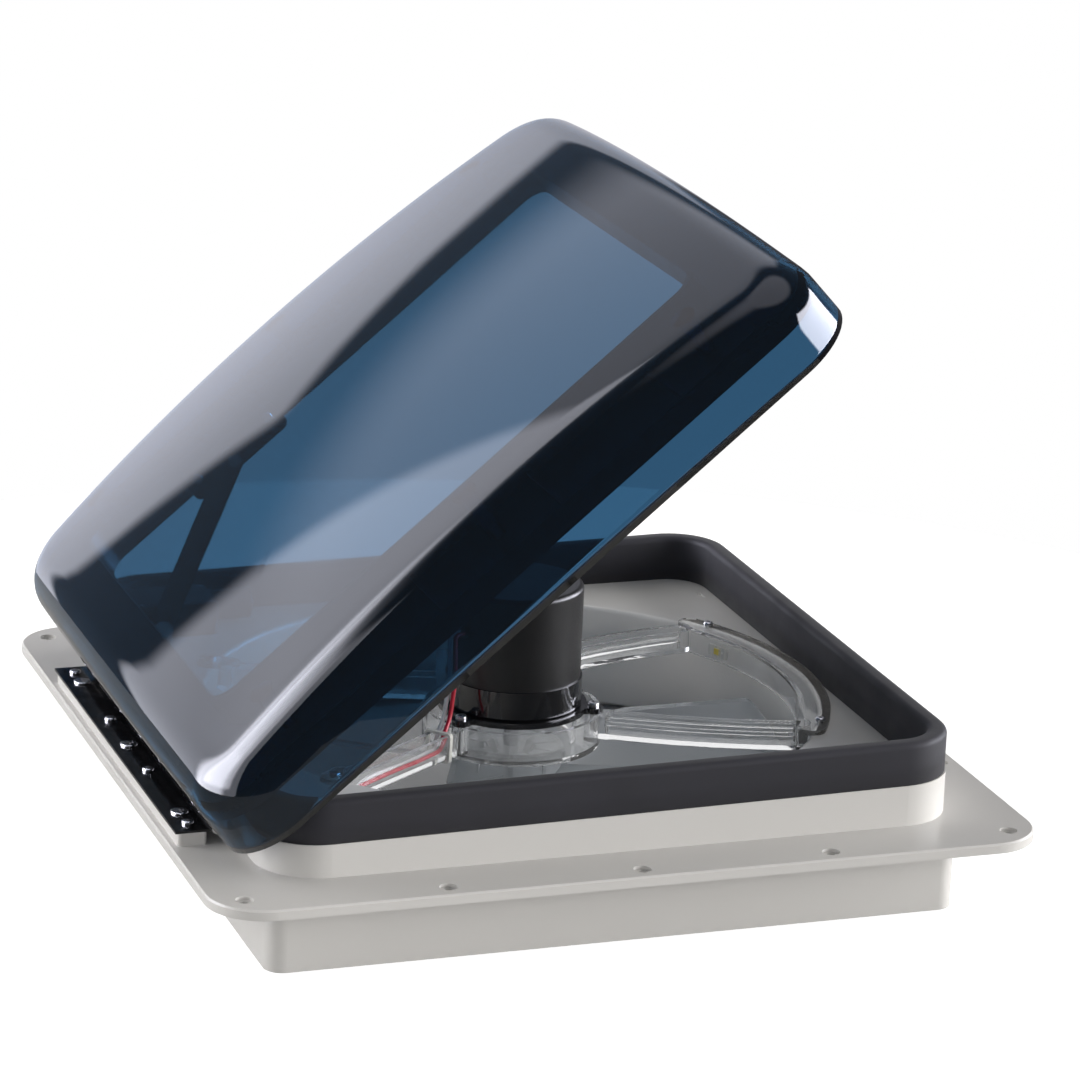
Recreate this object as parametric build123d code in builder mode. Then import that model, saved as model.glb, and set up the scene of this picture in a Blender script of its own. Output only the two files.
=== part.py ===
from build123d import *
import os
from math import cos, radians, sin

# Powered roof vent for a caravan: a hinged smoked lid over a fan in a square roof opening.
# Units are millimetres. The origin is the centre of the corner screws, on the underside of
# the flange that lies on the roof. +Z is up and +X runs from the hinge to the lid's free edge.

os.makedirs("parts", exist_ok=True)

# Roof frame
FLANGE = 416.6
FLANGE_R = 27.7
FLANGE_T = 5.0
SKIRT = 350.0
SKIRT_R = 9.0
SKIRT_WALL = 3.2
SKIRT_BOTTOM = -40.8
COLLAR = 351.0
COLLAR_R = 30.0
COLLAR_WALL = 3.0
RIM_LOW = 21.0
RIM_RISE = 5.1
LEDGE_TOP = 20.0
LEDGE_T = 3.5
LEDGE_WIDTH = 7.7
CORNER_HOLE = 192.2
SIDE_HOLE = 198.7
SIDE_PITCH = 96.1
ROOF_HOLE_R = 2.2
ROOF_CBORE_R = 4.3
ROOF_CBORE_DEPTH = 1.6

# Seal
SEAL_WIDTH = 10.0
SEAL_HEIGHT = 21.5
SEAL_SIDE = 350.0
SEAL_R = 30.0

# Fan deck and duct
FAN_X = 3.0
DECK_T = 3.0
DECK_TOP = LEDGE_TOP + DECK_T
DUCT_R = 155.0
DUCT_WALL = 3.0
DUCT_BOTTOM = -30.0
DECK_SCREW_SPOTS = [(168.6, 110), (168.6, -110), (-168.6, 110), (-168.6, -110),
                    (110, 168.6), (110, -168.6), (-110, 168.6), (-110, -168.6)]

# Hinge
HINGE_X = -186.0
HINGE_Z = 13.0
BLOCK_FROM = -204.6
BLOCK_TO = -190.2
BLOCK_LENGTH = 241.4
BLOCK_TOP = 11.4
LEAF_T = 1.2
KNUCKLE_R = 3.0
PIN_R = 1.5
RUNNING_FIT = 0.05
KNUCKLES = 9
KNUCKLE_GAP = 0.3
LEAF_SCREW_X = -197.3
LEAF_SCREW_Y = (-111.0, -37.4, 37.4, 111.0)

# Lid, drawn in its own frame: u from the hinge edge, v along the hinge, w out of the rim
OPEN_ANGLE = 40.3
LID_ORIGIN = (-190.0, 0.0, 16.8)
LID = 380.0
LID_R = 34.5
LID_WALL = 2.7
LID_TAPER = 1.72
LID_TOP = 69.5
CROWN_U = 17.5
CROWN_V = 19.0
LID_EDGE_R = 20.0
ARCH_HALF_ANGLE = 13.0
BOSS_R = 4.0

# Sealing frame inside the lid
LIP_FROM = 20.0
LIP_TO = 32.0
LIP_T = 2.2
FACE_FROM = 24.3
FACE_T = 2.5
FRAME_SIDE = 371.6
FRAME_R = 29.0
WINDOW_U = 299.0
WINDOW_V = 252.0
WINDOW_R = 12.0
WINDOW_WALL = 2.4
WINDOW_TOP = 44.5
RIB_T = 2.4
RIB_U = (74.0, 147.5, 221.0, 294.5)
LEAF_POCKET_U = 7.2
HINGE_WALL_FROM = 8.0
HINGE_WALL_T = 2.6
MOVING_LEAF_T = 1.5
LEAF_REACH = 24.0
LEAF_SCREW_W = 16.0
MOVING_SCREW_V = (-105.0, -37.4, 37.4, 105.0)

# Lift arm: it turns LIFT_RATIO times as far as the lid, so its roller stays in a short slot
ARM_PIVOT_X = -150.0
ARM_PIVOT_Z = 31.0
ARM_LENGTH = 97.0
ARM_ANGLE = 67.4
ARM_FROM_Y = 114.5
ARM_T = 4.0
ARM_WIDTH = 11.0
LIFT_RATIO = 1.43
ROLLER_R = 4.0
SLOT_HALF = 4.45
SLOT_TRAVEL = 9.0
RAIL_T = 3.0
RAIL_LENGTH = 62.0
RAIL_SCREW = 24.0
DRIVE_FROM_X = -160.0
DRIVE_TO_X = -116.0
DRIVE_FROM_Y = 124.5
DRIVE_TO_Y = 157.0
DRIVE_SPLIT = 38.0
DRIVE_TOP = 41.0
DRIVE_POST = 3.2
SHAFT_R = 4.0

# Fan motor and its clear bracket
MOTOR_R = 34.0
MOTOR_TOP = 84.5
MOTOR_BAND_R = 35.0
MOTOR_BAND_TOP = 36.0
MOTOR_RING_R = 38.0
MOTOR_RING_BOTTOM = 18.0
MOTOR_RING_T = 3.0
BEARING_R = 9.0
BEARING_T = 5.0
EAR_R = 41.5
EAR_ANGLES = (-27.0, 93.0, 213.0)
RING_BOTTOM = 1.0
RING_INNER = 31.0
RING_OUTER = 45.5
BRACKET_WALL = 2.2
LEG_WIDTH = 12.0
LEG_HEIGHT = 12.0
LEG_START_R = 48.0
LEG_START_Z = 17.6
LEG_END_R = 147.0
LEGS = ((-27, -30.5, -3), (93, 34, 9), (213, 218, 0), (93, 150, 0))
LEG_LIP_WIDTH = 17.0
LEG_LIP_T = 2.0
ARC_INNER = 145.5
ARC_OUTER = 161.6
ARC_HALF_ANGLE = 33.0
ARC_FLANGE_T = 2.5
ARC_SCREW_R = 157.4
ARC_SCREW_ANGLE = 29.5
PAD_ANGLES = (150.0, 218.0)

# Fan
FAN_SHAFT_R = 4.0
HUB_R = 32.0
HUB_TOP = -2.5
HUB_BOTTOM = -25.0
NUT_BOTTOM = -29.0
BLADE_R = 149.0
BLADES = 5
BLADE_PITCH = 20.0
BLADE_T = 2.0
BLADE_TOP = -2.5
BLADE_BOTTOM = -28.0
BLADE_ROOT_ANGLE = 30.0
BLADE_TIP_ANGLE = 22.0

# Insect screen
SCREEN = 336.0
SCREEN_R = 60.0
SCREEN_FROM = -35.0
SCREEN_T = 4.0
SCREEN_OPENING_R = 156.0
MESH_T = 0.8
CLIP_POST = 156.0
CLIP_POST_R = 4.5
CLIP_T = 2.6
CLIP_REACH = 10.0

# Wiring and electronics
WIRE_R = 1.1
BOX_FROM = -150.0
BOX_TO = -114.0
BOX_BOTTOM = -6.0


def save(piece, name):
    """Label a finished piece and write it as one STEP file."""
    piece.label = name
    export_step(piece, f"parts/{name}.step")
    print(f"{name:24s} {piece.volume / 1000:9.2f} cm3")


def turned(radius, angle, centre_x=0.0):
    """A point at a radius and an angle about an upright axis at centre_x."""
    return (centre_x + radius * cos(radians(angle)), radius * sin(radians(angle)))


# ---------------------------------------------------------------- roof frame

RIM_SLOPE = Plane(origin=(0, 0, RIM_LOW + RIM_RISE / 2),
                  x_dir=(COLLAR, 0, RIM_RISE), z_dir=(-RIM_RISE, 0, COLLAR))
CORNER_HOLES = [(x, y) for x in (-CORNER_HOLE, CORNER_HOLE) for y in (-CORNER_HOLE, CORNER_HOLE)]
SIDE_HOLES = [(x, y) for y in (-SIDE_HOLE, SIDE_HOLE) for x in (-SIDE_PITCH, 0, SIDE_PITCH)]
SIDE_HOLES += [(SIDE_HOLE, y) for y in (-SIDE_PITCH, 0, SIDE_PITCH)]
HINGE_SIDE_HOLES = [(LEAF_SCREW_X, y) for y in (-SIDE_PITCH, 0, SIDE_PITCH)]
CLIP_POSTS = [(x, y) for x in (-CLIP_POST, CLIP_POST) for y in (-CLIP_POST, CLIP_POST)]
LEDGE_SIDE = COLLAR - 2 * COLLAR_WALL

with BuildPart() as collar_ring:
    with BuildSketch(Plane.XY.offset(FLANGE_T - 1)):
        RectangleRounded(COLLAR, COLLAR, COLLAR_R)
        RectangleRounded(LEDGE_SIDE, LEDGE_SIDE, COLLAR_R - COLLAR_WALL, mode=Mode.SUBTRACT)
    extrude(amount=RIM_LOW + RIM_RISE)
    split(bisect_by=RIM_SLOPE, keep=Keep.BOTTOM)

with BuildPart() as roof_frame:
    with BuildSketch():
        RectangleRounded(FLANGE, FLANGE, FLANGE_R)
    extrude(amount=FLANGE_T)
    chamfer(roof_frame.faces().sort_by(Axis.Z)[-1].edges(), 0.9)
    with BuildSketch(Plane.XY.offset(FLANGE_T - 1)):
        with Locations(((BLOCK_FROM + BLOCK_TO) / 2, 0)):
            RectangleRounded(BLOCK_TO - BLOCK_FROM, BLOCK_LENGTH, 2)
    extrude(amount=BLOCK_TOP - FLANGE_T + 1)
    with BuildSketch():
        RectangleRounded(SKIRT, SKIRT, SKIRT_R)
    extrude(amount=SKIRT_BOTTOM)
    with BuildSketch(Plane.XY.offset(SKIRT_BOTTOM)):
        RectangleRounded(SKIRT - 2 * SKIRT_WALL, SKIRT - 2 * SKIRT_WALL, SKIRT_R - SKIRT_WALL)
    extrude(amount=-SKIRT_BOTTOM, mode=Mode.SUBTRACT)
    with BuildSketch():
        RectangleRounded(LEDGE_SIDE, LEDGE_SIDE, COLLAR_R - COLLAR_WALL)
    extrude(amount=FLANGE_T, mode=Mode.SUBTRACT)
    add(collar_ring.part)
    # Ledge that carries the deck
    with BuildSketch(Plane.XY.offset(LEDGE_TOP - LEDGE_T)):
        RectangleRounded(LEDGE_SIDE + 0.4, LEDGE_SIDE + 0.4, COLLAR_R - COLLAR_WALL)
        RectangleRounded(LEDGE_SIDE - 2 * LEDGE_WIDTH, LEDGE_SIDE - 2 * LEDGE_WIDTH, COLLAR_R,
                         mode=Mode.SUBTRACT)
        with Locations(*CLIP_POSTS):
            Circle(CLIP_POST_R + 2)
    extrude(amount=LEDGE_T)
    # Corner posts for the screen's turn clips
    with BuildSketch(Plane.XY.offset(SCREEN_FROM + SCREEN_T - 0.3)):
        with Locations(*CLIP_POSTS):
            Circle(CLIP_POST_R)
    extrude(amount=LEDGE_TOP - LEDGE_T / 2 - SCREEN_FROM - SCREEN_T + 0.3)
    with Locations(*[(x, y, SCREEN_FROM + SCREEN_T - 0.3) for x, y in CLIP_POSTS]):
        Cylinder(1.5, 12, align=(Align.CENTER, Align.CENTER, Align.MIN), mode=Mode.SUBTRACT)
    with Locations(*[(x, y, LEDGE_TOP) for x, y in DECK_SCREW_SPOTS]):
        Hole(1.8, depth=LEDGE_T)
    # Roof screw holes
    with Locations(*[(x, y, FLANGE_T) for x, y in CORNER_HOLES + SIDE_HOLES]):
        CounterBoreHole(ROOF_HOLE_R, ROOF_CBORE_R, ROOF_CBORE_DEPTH, depth=FLANGE_T)
    with Locations(*[(x, y, BLOCK_TOP) for x, y in HINGE_SIDE_HOLES]):
        Hole(ROOF_HOLE_R, depth=BLOCK_TOP)
    with Locations(*[(LEAF_SCREW_X, y, BLOCK_TOP) for y in LEAF_SCREW_Y]):
        Hole(1.4, depth=7)
save(roof_frame.part, "roof_frame")

with BuildPart() as lid_seal:
    with BuildSketch(Plane.XY.offset(DECK_TOP)):
        RectangleRounded(LEDGE_SIDE, LEDGE_SIDE, COLLAR_R - COLLAR_WALL)
        RectangleRounded(SEAL_SIDE - 2 * SEAL_WIDTH, SEAL_SIDE - 2 * SEAL_WIDTH,
                         SEAL_R - SEAL_WIDTH, mode=Mode.SUBTRACT)
    extrude(amount=SEAL_HEIGHT + RIM_RISE)
    with BuildSketch(Plane.XY.offset(RIM_LOW - 2)):
        RectangleRounded(SEAL_SIDE, SEAL_SIDE, SEAL_R)
        RectangleRounded(LEDGE_SIDE, LEDGE_SIDE, COLLAR_R - COLLAR_WALL, mode=Mode.SUBTRACT)
    extrude(amount=SEAL_HEIGHT + 2 * RIM_RISE)
    add(collar_ring.part, mode=Mode.SUBTRACT)
    with BuildSketch(Plane.XY.offset(FLANGE_T)):
        RectangleRounded(COLLAR + 2, COLLAR + 2, COLLAR_R)
        RectangleRounded(LEDGE_SIDE - 0.02, LEDGE_SIDE - 0.02, COLLAR_R - COLLAR_WALL,
                         mode=Mode.SUBTRACT)
    extrude(amount=RIM_LOW - FLANGE_T, mode=Mode.SUBTRACT)
    split(bisect_by=RIM_SLOPE.offset(SEAL_HEIGHT), keep=Keep.BOTTOM)
save(lid_seal.part, "lid_seal")

# ---------------------------------------------------------------- fan deck

BRACKET_SCREWS = [turned(ARC_SCREW_R, angle, FAN_X)
                  for angle in (-ARC_SCREW_ANGLE, ARC_SCREW_ANGLE, *PAD_ANGLES)]

with BuildPart() as fan_deck:
    with BuildSketch(Plane.XY.offset(LEDGE_TOP)):
        RectangleRounded(LEDGE_SIDE - 0.4, LEDGE_SIDE - 0.4, COLLAR_R - COLLAR_WALL)
    extrude(amount=DECK_T)
    with BuildSketch(Plane.XY.offset(DUCT_BOTTOM)):
        with Locations((FAN_X, 0)):
            Circle(DUCT_R + DUCT_WALL)
    extrude(amount=LEDGE_TOP - DUCT_BOTTOM)
    with BuildSketch(Plane.XY.offset(DUCT_BOTTOM)):
        with Locations((FAN_X, 0)):
            Circle(DUCT_R)
    extrude(amount=DECK_TOP - DUCT_BOTTOM, mode=Mode.SUBTRACT)
    mouth = fan_deck.edges().filter_by(GeomType.CIRCLE).filter_by(
        lambda edge: abs(edge.radius - DUCT_R) < 0.01).sort_by(Axis.Z)[-1]
    fillet(mouth, 2.2)
    with Locations(*[(x, y, LEDGE_TOP) for x, y in DECK_SCREW_SPOTS]):
        Cylinder(1.5, 2.2, align=(Align.CENTER, Align.CENTER, Align.MIN), mode=Mode.SUBTRACT)
    with Locations((158, 134, DECK_TOP)):
        Box(2.2, 8, 2, mode=Mode.SUBTRACT)
    with Locations(*[(x, y, DECK_TOP) for x, y in BRACKET_SCREWS]):
        Hole(1.2, depth=2.4)
save(fan_deck.part, "fan_deck")


def pan_screw(head_r, head_h, shank_r, shank_l, cross):
    """One pan-head screw with a cross recess, its seat at the origin and its head up."""
    with BuildPart() as screw:
        with BuildSketch():
            Circle(head_r)
        extrude(amount=head_h)
        fillet(screw.faces().sort_by(Axis.Z)[-1].edges(), head_h * 0.6)
        with BuildSketch():
            Circle(shank_r)
        extrude(amount=-shank_l)
        with BuildSketch(Plane.XY.offset(head_h * 0.55)):
            Rectangle(cross, cross * 0.25)
            Rectangle(cross * 0.25, cross)
        extrude(amount=head_h, mode=Mode.SUBTRACT)
    return screw.part


def placed(piece, spots, plane=Plane.XY):
    """Copies of a piece on spots of a plane, kept as separate solids of one part."""
    with BuildPart(plane) as group:
        with Locations(*spots):
            add(piece)
    return group.part


deck_underside = Plane(origin=(0, 0, LEDGE_TOP - LEDGE_T), x_dir=(1, 0, 0), z_dir=(0, 0, -1))
save(placed(pan_screw(2.7, 1.8, 1.45, 5.0, 2.8), [(x, -y, 0) for x, y in DECK_SCREW_SPOTS],
            deck_underside), "deck_screws")

# ---------------------------------------------------------------- hinge

BARREL_END = Plane(origin=(HINGE_X, -BLOCK_LENGTH / 2, HINGE_Z), x_dir=(1, 0, 0), z_dir=(0, 1, 0))
KNUCKLE_PITCH = BLOCK_LENGTH / KNUCKLES
LEAF_TOP = BLOCK_TOP + LEAF_T


def knuckle_plane(index):
    """Plane across the hinge axis at the start of a knuckle; local x is +X, local y is -Z."""
    return BARREL_END.offset(index * KNUCKLE_PITCH + KNUCKLE_GAP / 2)


with BuildPart() as hinge_leaf_fixed:
    with BuildSketch(Plane.XY.offset(BLOCK_TOP)):
        with Locations(((BLOCK_FROM - 1.2 + HINGE_X - 3.6) / 2, 0)):
            Rectangle(HINGE_X - 3.6 - BLOCK_FROM + 1.2, BLOCK_LENGTH)
    extrude(amount=LEAF_T)
    for index in range(0, KNUCKLES, 2):
        with BuildSketch(knuckle_plane(index)):
            Circle(KNUCKLE_R)
            with Locations((-KNUCKLE_R, (HINGE_Z - BLOCK_TOP - LEAF_T / 2))):
                Rectangle(2 * KNUCKLE_R, LEAF_T)
            Circle(PIN_R + RUNNING_FIT, mode=Mode.SUBTRACT)
        extrude(amount=KNUCKLE_PITCH - KNUCKLE_GAP)
    with Locations(*[(LEAF_SCREW_X, y, LEAF_TOP) for y in LEAF_SCREW_Y]):
        Hole(1.7, depth=LEAF_T)
    with Locations(*[(x, y, LEAF_TOP) for x, y in HINGE_SIDE_HOLES]):
        Hole(2.6, depth=LEAF_T)
save(hinge_leaf_fixed.part, "hinge_leaf_fixed")

with BuildPart() as hinge_pin:
    with BuildSketch(BARREL_END.offset(-1.2)):
        Circle(PIN_R)
    extrude(amount=BLOCK_LENGTH + 2.4)
    with BuildSketch(BARREL_END.offset(-2.0)):
        Circle(PIN_R + 0.9)
    extrude(amount=1.6)
save(hinge_pin.part, "hinge_pin")

save(placed(pan_screw(2.9, 1.6, 1.3, 7.0, 3.0),
            [(LEAF_SCREW_X, y, LEAF_TOP) for y in LEAF_SCREW_Y]), "hinge_leaf_screws")
save(placed(pan_screw(4.3, 1.1, 2.05, 20.0, 4.6),
            [(x, y, LEAF_TOP) for x, y in HINGE_SIDE_HOLES]), "hinge_roof_screws")

# ---------------------------------------------------------------- lid

OPEN = radians(OPEN_ANGLE)
LID_PLANE = Plane(origin=LID_ORIGIN, x_dir=(cos(OPEN), 0, sin(OPEN)), z_dir=(-sin(OPEN), 0, cos(OPEN)))
LID_MIDDLE = LID_PLANE.from_local_coords((LID / 2, 0, 0))


def lid_level(w):
    """Plane parallel to the lid's rim at height w, centred on the lid."""
    return Plane(origin=LID_MIDDLE, x_dir=LID_PLANE.x_dir, z_dir=LID_PLANE.z_dir).offset(w)


def lid_side(v):
    """Upright plane of the lid at v: local x is u, local y is w."""
    return Plane(origin=LID_PLANE.from_local_coords((0, v, 0)), x_dir=LID_PLANE.x_dir,
                 z_dir=(0, -1, 0))


def crown_radius(sagitta):
    """Radius of an arc over the lid's width with the given rise."""
    half = LID / 2
    return (half ** 2 + sagitta ** 2) / (2 * sagitta)


def dome(inset):
    """The lid's outline as one solid: tapered walls under a top that is arched both ways."""
    half = LID / 2
    reach = half + 10
    arch_centre = LID_PLANE.from_local_coords((half, 0, LID_TOP - crown_radius(CROWN_U)))
    start = radians(OPEN_ANGLE + ARCH_HALF_ANGLE)
    arch_plane = Plane(origin=arch_centre, x_dir=(0, 1, 0), z_dir=(cos(start), 0, sin(start)))
    top = crown_radius(CROWN_U) - inset
    shoulder = top - CROWN_V * (reach / half) ** 2
    with BuildPart() as arch:
        with BuildSketch(arch_plane):
            with BuildLine():
                ThreePointArc((-reach, shoulder), (0, top), (reach, shoulder))
                Polyline((reach, shoulder), (reach, top - 150), (-reach, top - 150),
                         (-reach, shoulder))
            make_face()
        revolve(axis=Axis(arch_centre, (0, 1, 0)), revolution_arc=2 * ARCH_HALF_ANGLE)
    with BuildPart() as solid:
        with BuildSketch(lid_level(0)):
            RectangleRounded(LID - 2 * inset, LID - 2 * inset, LID_R - inset)
        extrude(amount=LID_TOP + 5, taper=LID_TAPER)
        add(arch.part, mode=Mode.INTERSECT)
        crown = solid.faces().sort_by(Axis(LID_MIDDLE, LID_PLANE.z_dir))[-1]
        fillet(crown.edges(), LID_EDGE_R - inset)
    return solid.part


BOSS_SPOTS = [(u, v) for u in (-130, 0, 130) for v in (-155, 155)]

with BuildPart() as boss_block:
    with BuildSketch(lid_level(FACE_FROM + FACE_T)):
        with Locations(*BOSS_SPOTS):
            Circle(BOSS_R)
    extrude(amount=LID_TOP)
    add(dome(LID_WALL / 2), mode=Mode.INTERSECT)
    with BuildSketch(lid_level(FACE_FROM)):
        with Locations(*BOSS_SPOTS):
            Circle(1.4)
    extrude(amount=14, mode=Mode.SUBTRACT)

with BuildPart() as lid_shell:
    add(dome(0))
    add(dome(LID_WALL), mode=Mode.SUBTRACT)
    add(boss_block.part)
save(lid_shell.part, "lid_shell")

# Where the lift roller runs in the lid
ARM = radians(ARM_ANGLE)
ROLLER_X = ARM_PIVOT_X + ARM_LENGTH * cos(ARM)
ROLLER_Z = ARM_PIVOT_Z + ARM_LENGTH * sin(ARM)
RAIL_FROM_V = WINDOW_V / 2 - 0.1 - RAIL_T
roller_u, _, roller_w = LID_PLANE.to_local_coords(Vector(ROLLER_X, 0, ROLLER_Z))
slot_middle_u = roller_u + SLOT_TRAVEL / 2 - 1
slot_middle_w = roller_w + 0.27
RAIL_SCREW_SPOTS = [(slot_middle_u + side * RAIL_SCREW, slot_middle_w + 2) for side in (-1, 1)]

# Sealing frame: a flat ring that presses on the seal, a lip round it and a wall round the window

FRAME_GAP = 0.6
with BuildPart() as lid_frame:
    with BuildSketch(lid_level(LIP_FROM)):
        RectangleRounded(FRAME_SIDE, FRAME_SIDE, FRAME_R)
        RectangleRounded(FRAME_SIDE - 2 * LIP_T, FRAME_SIDE - 2 * LIP_T, FRAME_R - LIP_T,
                         mode=Mode.SUBTRACT)
    extrude(amount=LIP_TO - LIP_FROM)
    with BuildSketch(lid_level(FACE_FROM)):
        RectangleRounded(FRAME_SIDE - LIP_T, FRAME_SIDE - LIP_T, FRAME_R - LIP_T / 2)
        RectangleRounded(WINDOW_U, WINDOW_V, WINDOW_R, mode=Mode.SUBTRACT)
    extrude(amount=FACE_T)
    with BuildSketch(lid_level(FACE_FROM)):
        RectangleRounded(WINDOW_U + 2 * WINDOW_WALL, WINDOW_V + 2 * WINDOW_WALL,
                         WINDOW_R + WINDOW_WALL)
        RectangleRounded(WINDOW_U, WINDOW_V, WINDOW_R, mode=Mode.SUBTRACT)
    extrude(amount=WINDOW_TOP - FACE_FROM)
    # Stiffening ribs between the lip and the window wall
    rib_from = WINDOW_V / 2 + WINDOW_WALL / 2
    rib_to = FRAME_SIDE / 2 - LIP_T / 2
    with BuildSketch(lid_level(FACE_FROM + FACE_T / 2)):
        for side in (-1, 1):
            with Locations(*[(u - LID / 2, side * (rib_from + rib_to) / 2) for u in RIB_U]):
                Rectangle(RIB_T, rib_to - rib_from)
    extrude(amount=LIP_TO - 2 - FACE_FROM)
    # Pocket beside the hinge for the moving leaf
    with BuildSketch(lid_level(LIP_FROM - 1)):
        with Locations((-LID / 2 + LEAF_POCKET_U - 10, 0)):
            Rectangle(20, BLOCK_LENGTH + 4)
    extrude(amount=LIP_TO + 2 - LIP_FROM, mode=Mode.SUBTRACT)
    with BuildSketch(lid_level(HINGE_WALL_FROM)):
        with Locations((-LID / 2 + LEAF_POCKET_U + HINGE_WALL_T / 2, 0)):
            Rectangle(HINGE_WALL_T, BLOCK_LENGTH + 4)
    extrude(amount=LIP_TO - HINGE_WALL_FROM)
    with BuildSketch(lid_level(FACE_FROM)):
        with Locations(*BOSS_SPOTS):
            Circle(1.7)
    extrude(amount=FACE_T, mode=Mode.SUBTRACT)
    with Locations(*[Plane(origin=LID_PLANE.from_local_coords((LEAF_POCKET_U - 1, v, LEAF_SCREW_W)),
                           z_dir=LID_PLANE.x_dir).location for v in MOVING_SCREW_V]):
        Cylinder(1.4, 6, align=(Align.CENTER, Align.CENTER, Align.MIN), mode=Mode.SUBTRACT)
    with BuildSketch(lid_side(WINDOW_V / 2 + WINDOW_WALL)):
        with Locations(*RAIL_SCREW_SPOTS):
            Circle(1.4)
    extrude(amount=WINDOW_WALL, mode=Mode.SUBTRACT)
    # The low corners of the dome trim the corners of the frame
    add(dome(LID_WALL + FRAME_GAP), mode=Mode.INTERSECT)
save(lid_frame.part, "lid_frame")

underside = Plane(origin=lid_level(FACE_FROM).origin, x_dir=LID_PLANE.x_dir, z_dir=-LID_PLANE.z_dir)
save(placed(pan_screw(3.0, 2.0, 1.35, 11.0, 3.0), [(u, -v, 0) for u, v in BOSS_SPOTS], underside),
     "lid_frame_screws")

BARREL_U, _, BARREL_W = LID_PLANE.to_local_coords(Vector(HINGE_X, 0, HINGE_Z))
LEAF_FROM_U = LEAF_POCKET_U - MOVING_LEAF_T


def lid_knuckle(index):
    """Plane across the hinge axis at the start of a knuckle: local x is u, local y is -w."""
    start = -BLOCK_LENGTH / 2 + index * KNUCKLE_PITCH + KNUCKLE_GAP / 2
    return Plane(origin=LID_PLANE.from_local_coords((0, start, 0)), x_dir=LID_PLANE.x_dir,
                 z_dir=(0, 1, 0))


with BuildPart() as hinge_leaf_moving:
    with BuildSketch(lid_level(BARREL_W + KNUCKLE_R - MOVING_LEAF_T)):
        with Locations((-LID / 2 + LEAF_FROM_U + MOVING_LEAF_T / 2, 0)):
            Rectangle(MOVING_LEAF_T, BLOCK_LENGTH)
    extrude(amount=LEAF_REACH)
    for index in range(1, KNUCKLES, 2):
        with BuildSketch(lid_knuckle(index)):
            with Locations((BARREL_U, -BARREL_W)):
                Circle(KNUCKLE_R)
            with Locations(((BARREL_U + LEAF_POCKET_U) / 2, -BARREL_W - KNUCKLE_R + MOVING_LEAF_T / 2)):
                Rectangle(LEAF_POCKET_U - BARREL_U, MOVING_LEAF_T)
            with Locations((BARREL_U, -BARREL_W)):
                Circle(PIN_R + RUNNING_FIT, mode=Mode.SUBTRACT)
        extrude(amount=KNUCKLE_PITCH - KNUCKLE_GAP)
    with Locations(*[Plane(origin=LID_PLANE.from_local_coords((LEAF_FROM_U - 1, v, LEAF_SCREW_W)),
                           z_dir=LID_PLANE.x_dir).location for v in MOVING_SCREW_V]):
        Cylinder(1.7, 6, align=(Align.CENTER, Align.CENTER, Align.MIN), mode=Mode.SUBTRACT)
save(hinge_leaf_moving.part, "hinge_leaf_moving")

leaf_face = Plane(origin=LID_PLANE.from_local_coords((LEAF_FROM_U, 0, LEAF_SCREW_W)),
                  x_dir=(0, 1, 0), z_dir=-LID_PLANE.x_dir)
save(placed(pan_screw(2.7, 1.7, 1.35, 3.7, 2.6), [(v, 0, 0) for v in MOVING_SCREW_V], leaf_face),
     "moving_leaf_screws")

# ---------------------------------------------------------------- lift

def along_y(x, y, z):
    """Plane facing +Y at a point: local x is -X and local y is +Z."""
    return Plane(origin=(x, y, z), x_dir=(-1, 0, 0), z_dir=(0, 1, 0))


with BuildPart() as lift_rail:
    with BuildSketch(lid_side(RAIL_FROM_V + RAIL_T)):
        with Locations((slot_middle_u, slot_middle_w)):
            RectangleRounded(RAIL_LENGTH, 18, 4)
            SlotCenterToCenter(SLOT_TRAVEL, 2 * SLOT_HALF, mode=Mode.SUBTRACT)
        with Locations(*RAIL_SCREW_SPOTS):
            Circle(1.7, mode=Mode.SUBTRACT)
    extrude(amount=RAIL_T)
save(lift_rail.part, "lift_rail")

rail_face = Plane(origin=LID_PLANE.from_local_coords((slot_middle_u, RAIL_FROM_V, slot_middle_w + 2)),
                  x_dir=LID_PLANE.x_dir, z_dir=(0, -1, 0))
save(placed(pan_screw(2.9, 1.8, 1.35, 4.6, 2.8), [(-RAIL_SCREW, 0, 0), (RAIL_SCREW, 0, 0)], rail_face),
     "lift_rail_screws")

with BuildPart() as lift_arm:
    with BuildSketch(along_y(ARM_PIVOT_X, ARM_FROM_Y, ARM_PIVOT_Z)):
        with Locations(Location((-ARM_LENGTH / 2 * cos(ARM), ARM_LENGTH / 2 * sin(ARM), 0),
                                (0, 0, 180 - ARM_ANGLE))):
            SlotCenterToCenter(ARM_LENGTH, ARM_WIDTH)
        Circle(ARM_WIDTH / 2 + 1.5)
        Circle(SHAFT_R + 0.02, mode=Mode.SUBTRACT)
        with Locations((-ARM_LENGTH * cos(ARM), ARM_LENGTH * sin(ARM))):
            Circle(2.02, mode=Mode.SUBTRACT)
    extrude(amount=ARM_T)
save(lift_arm.part, "lift_arm")

with BuildPart() as lift_shaft:
    with BuildSketch(along_y(ARM_PIVOT_X, ARM_FROM_Y - 1.5, ARM_PIVOT_Z)):
        Circle(SHAFT_R)
    extrude(amount=DRIVE_TO_Y - 4 - ARM_FROM_Y)
    with BuildSketch(along_y(ARM_PIVOT_X, ARM_FROM_Y - 3, ARM_PIVOT_Z)):
        Circle(SHAFT_R + 1.5)
    extrude(amount=2.9)
save(lift_shaft.part, "lift_shaft")

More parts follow.
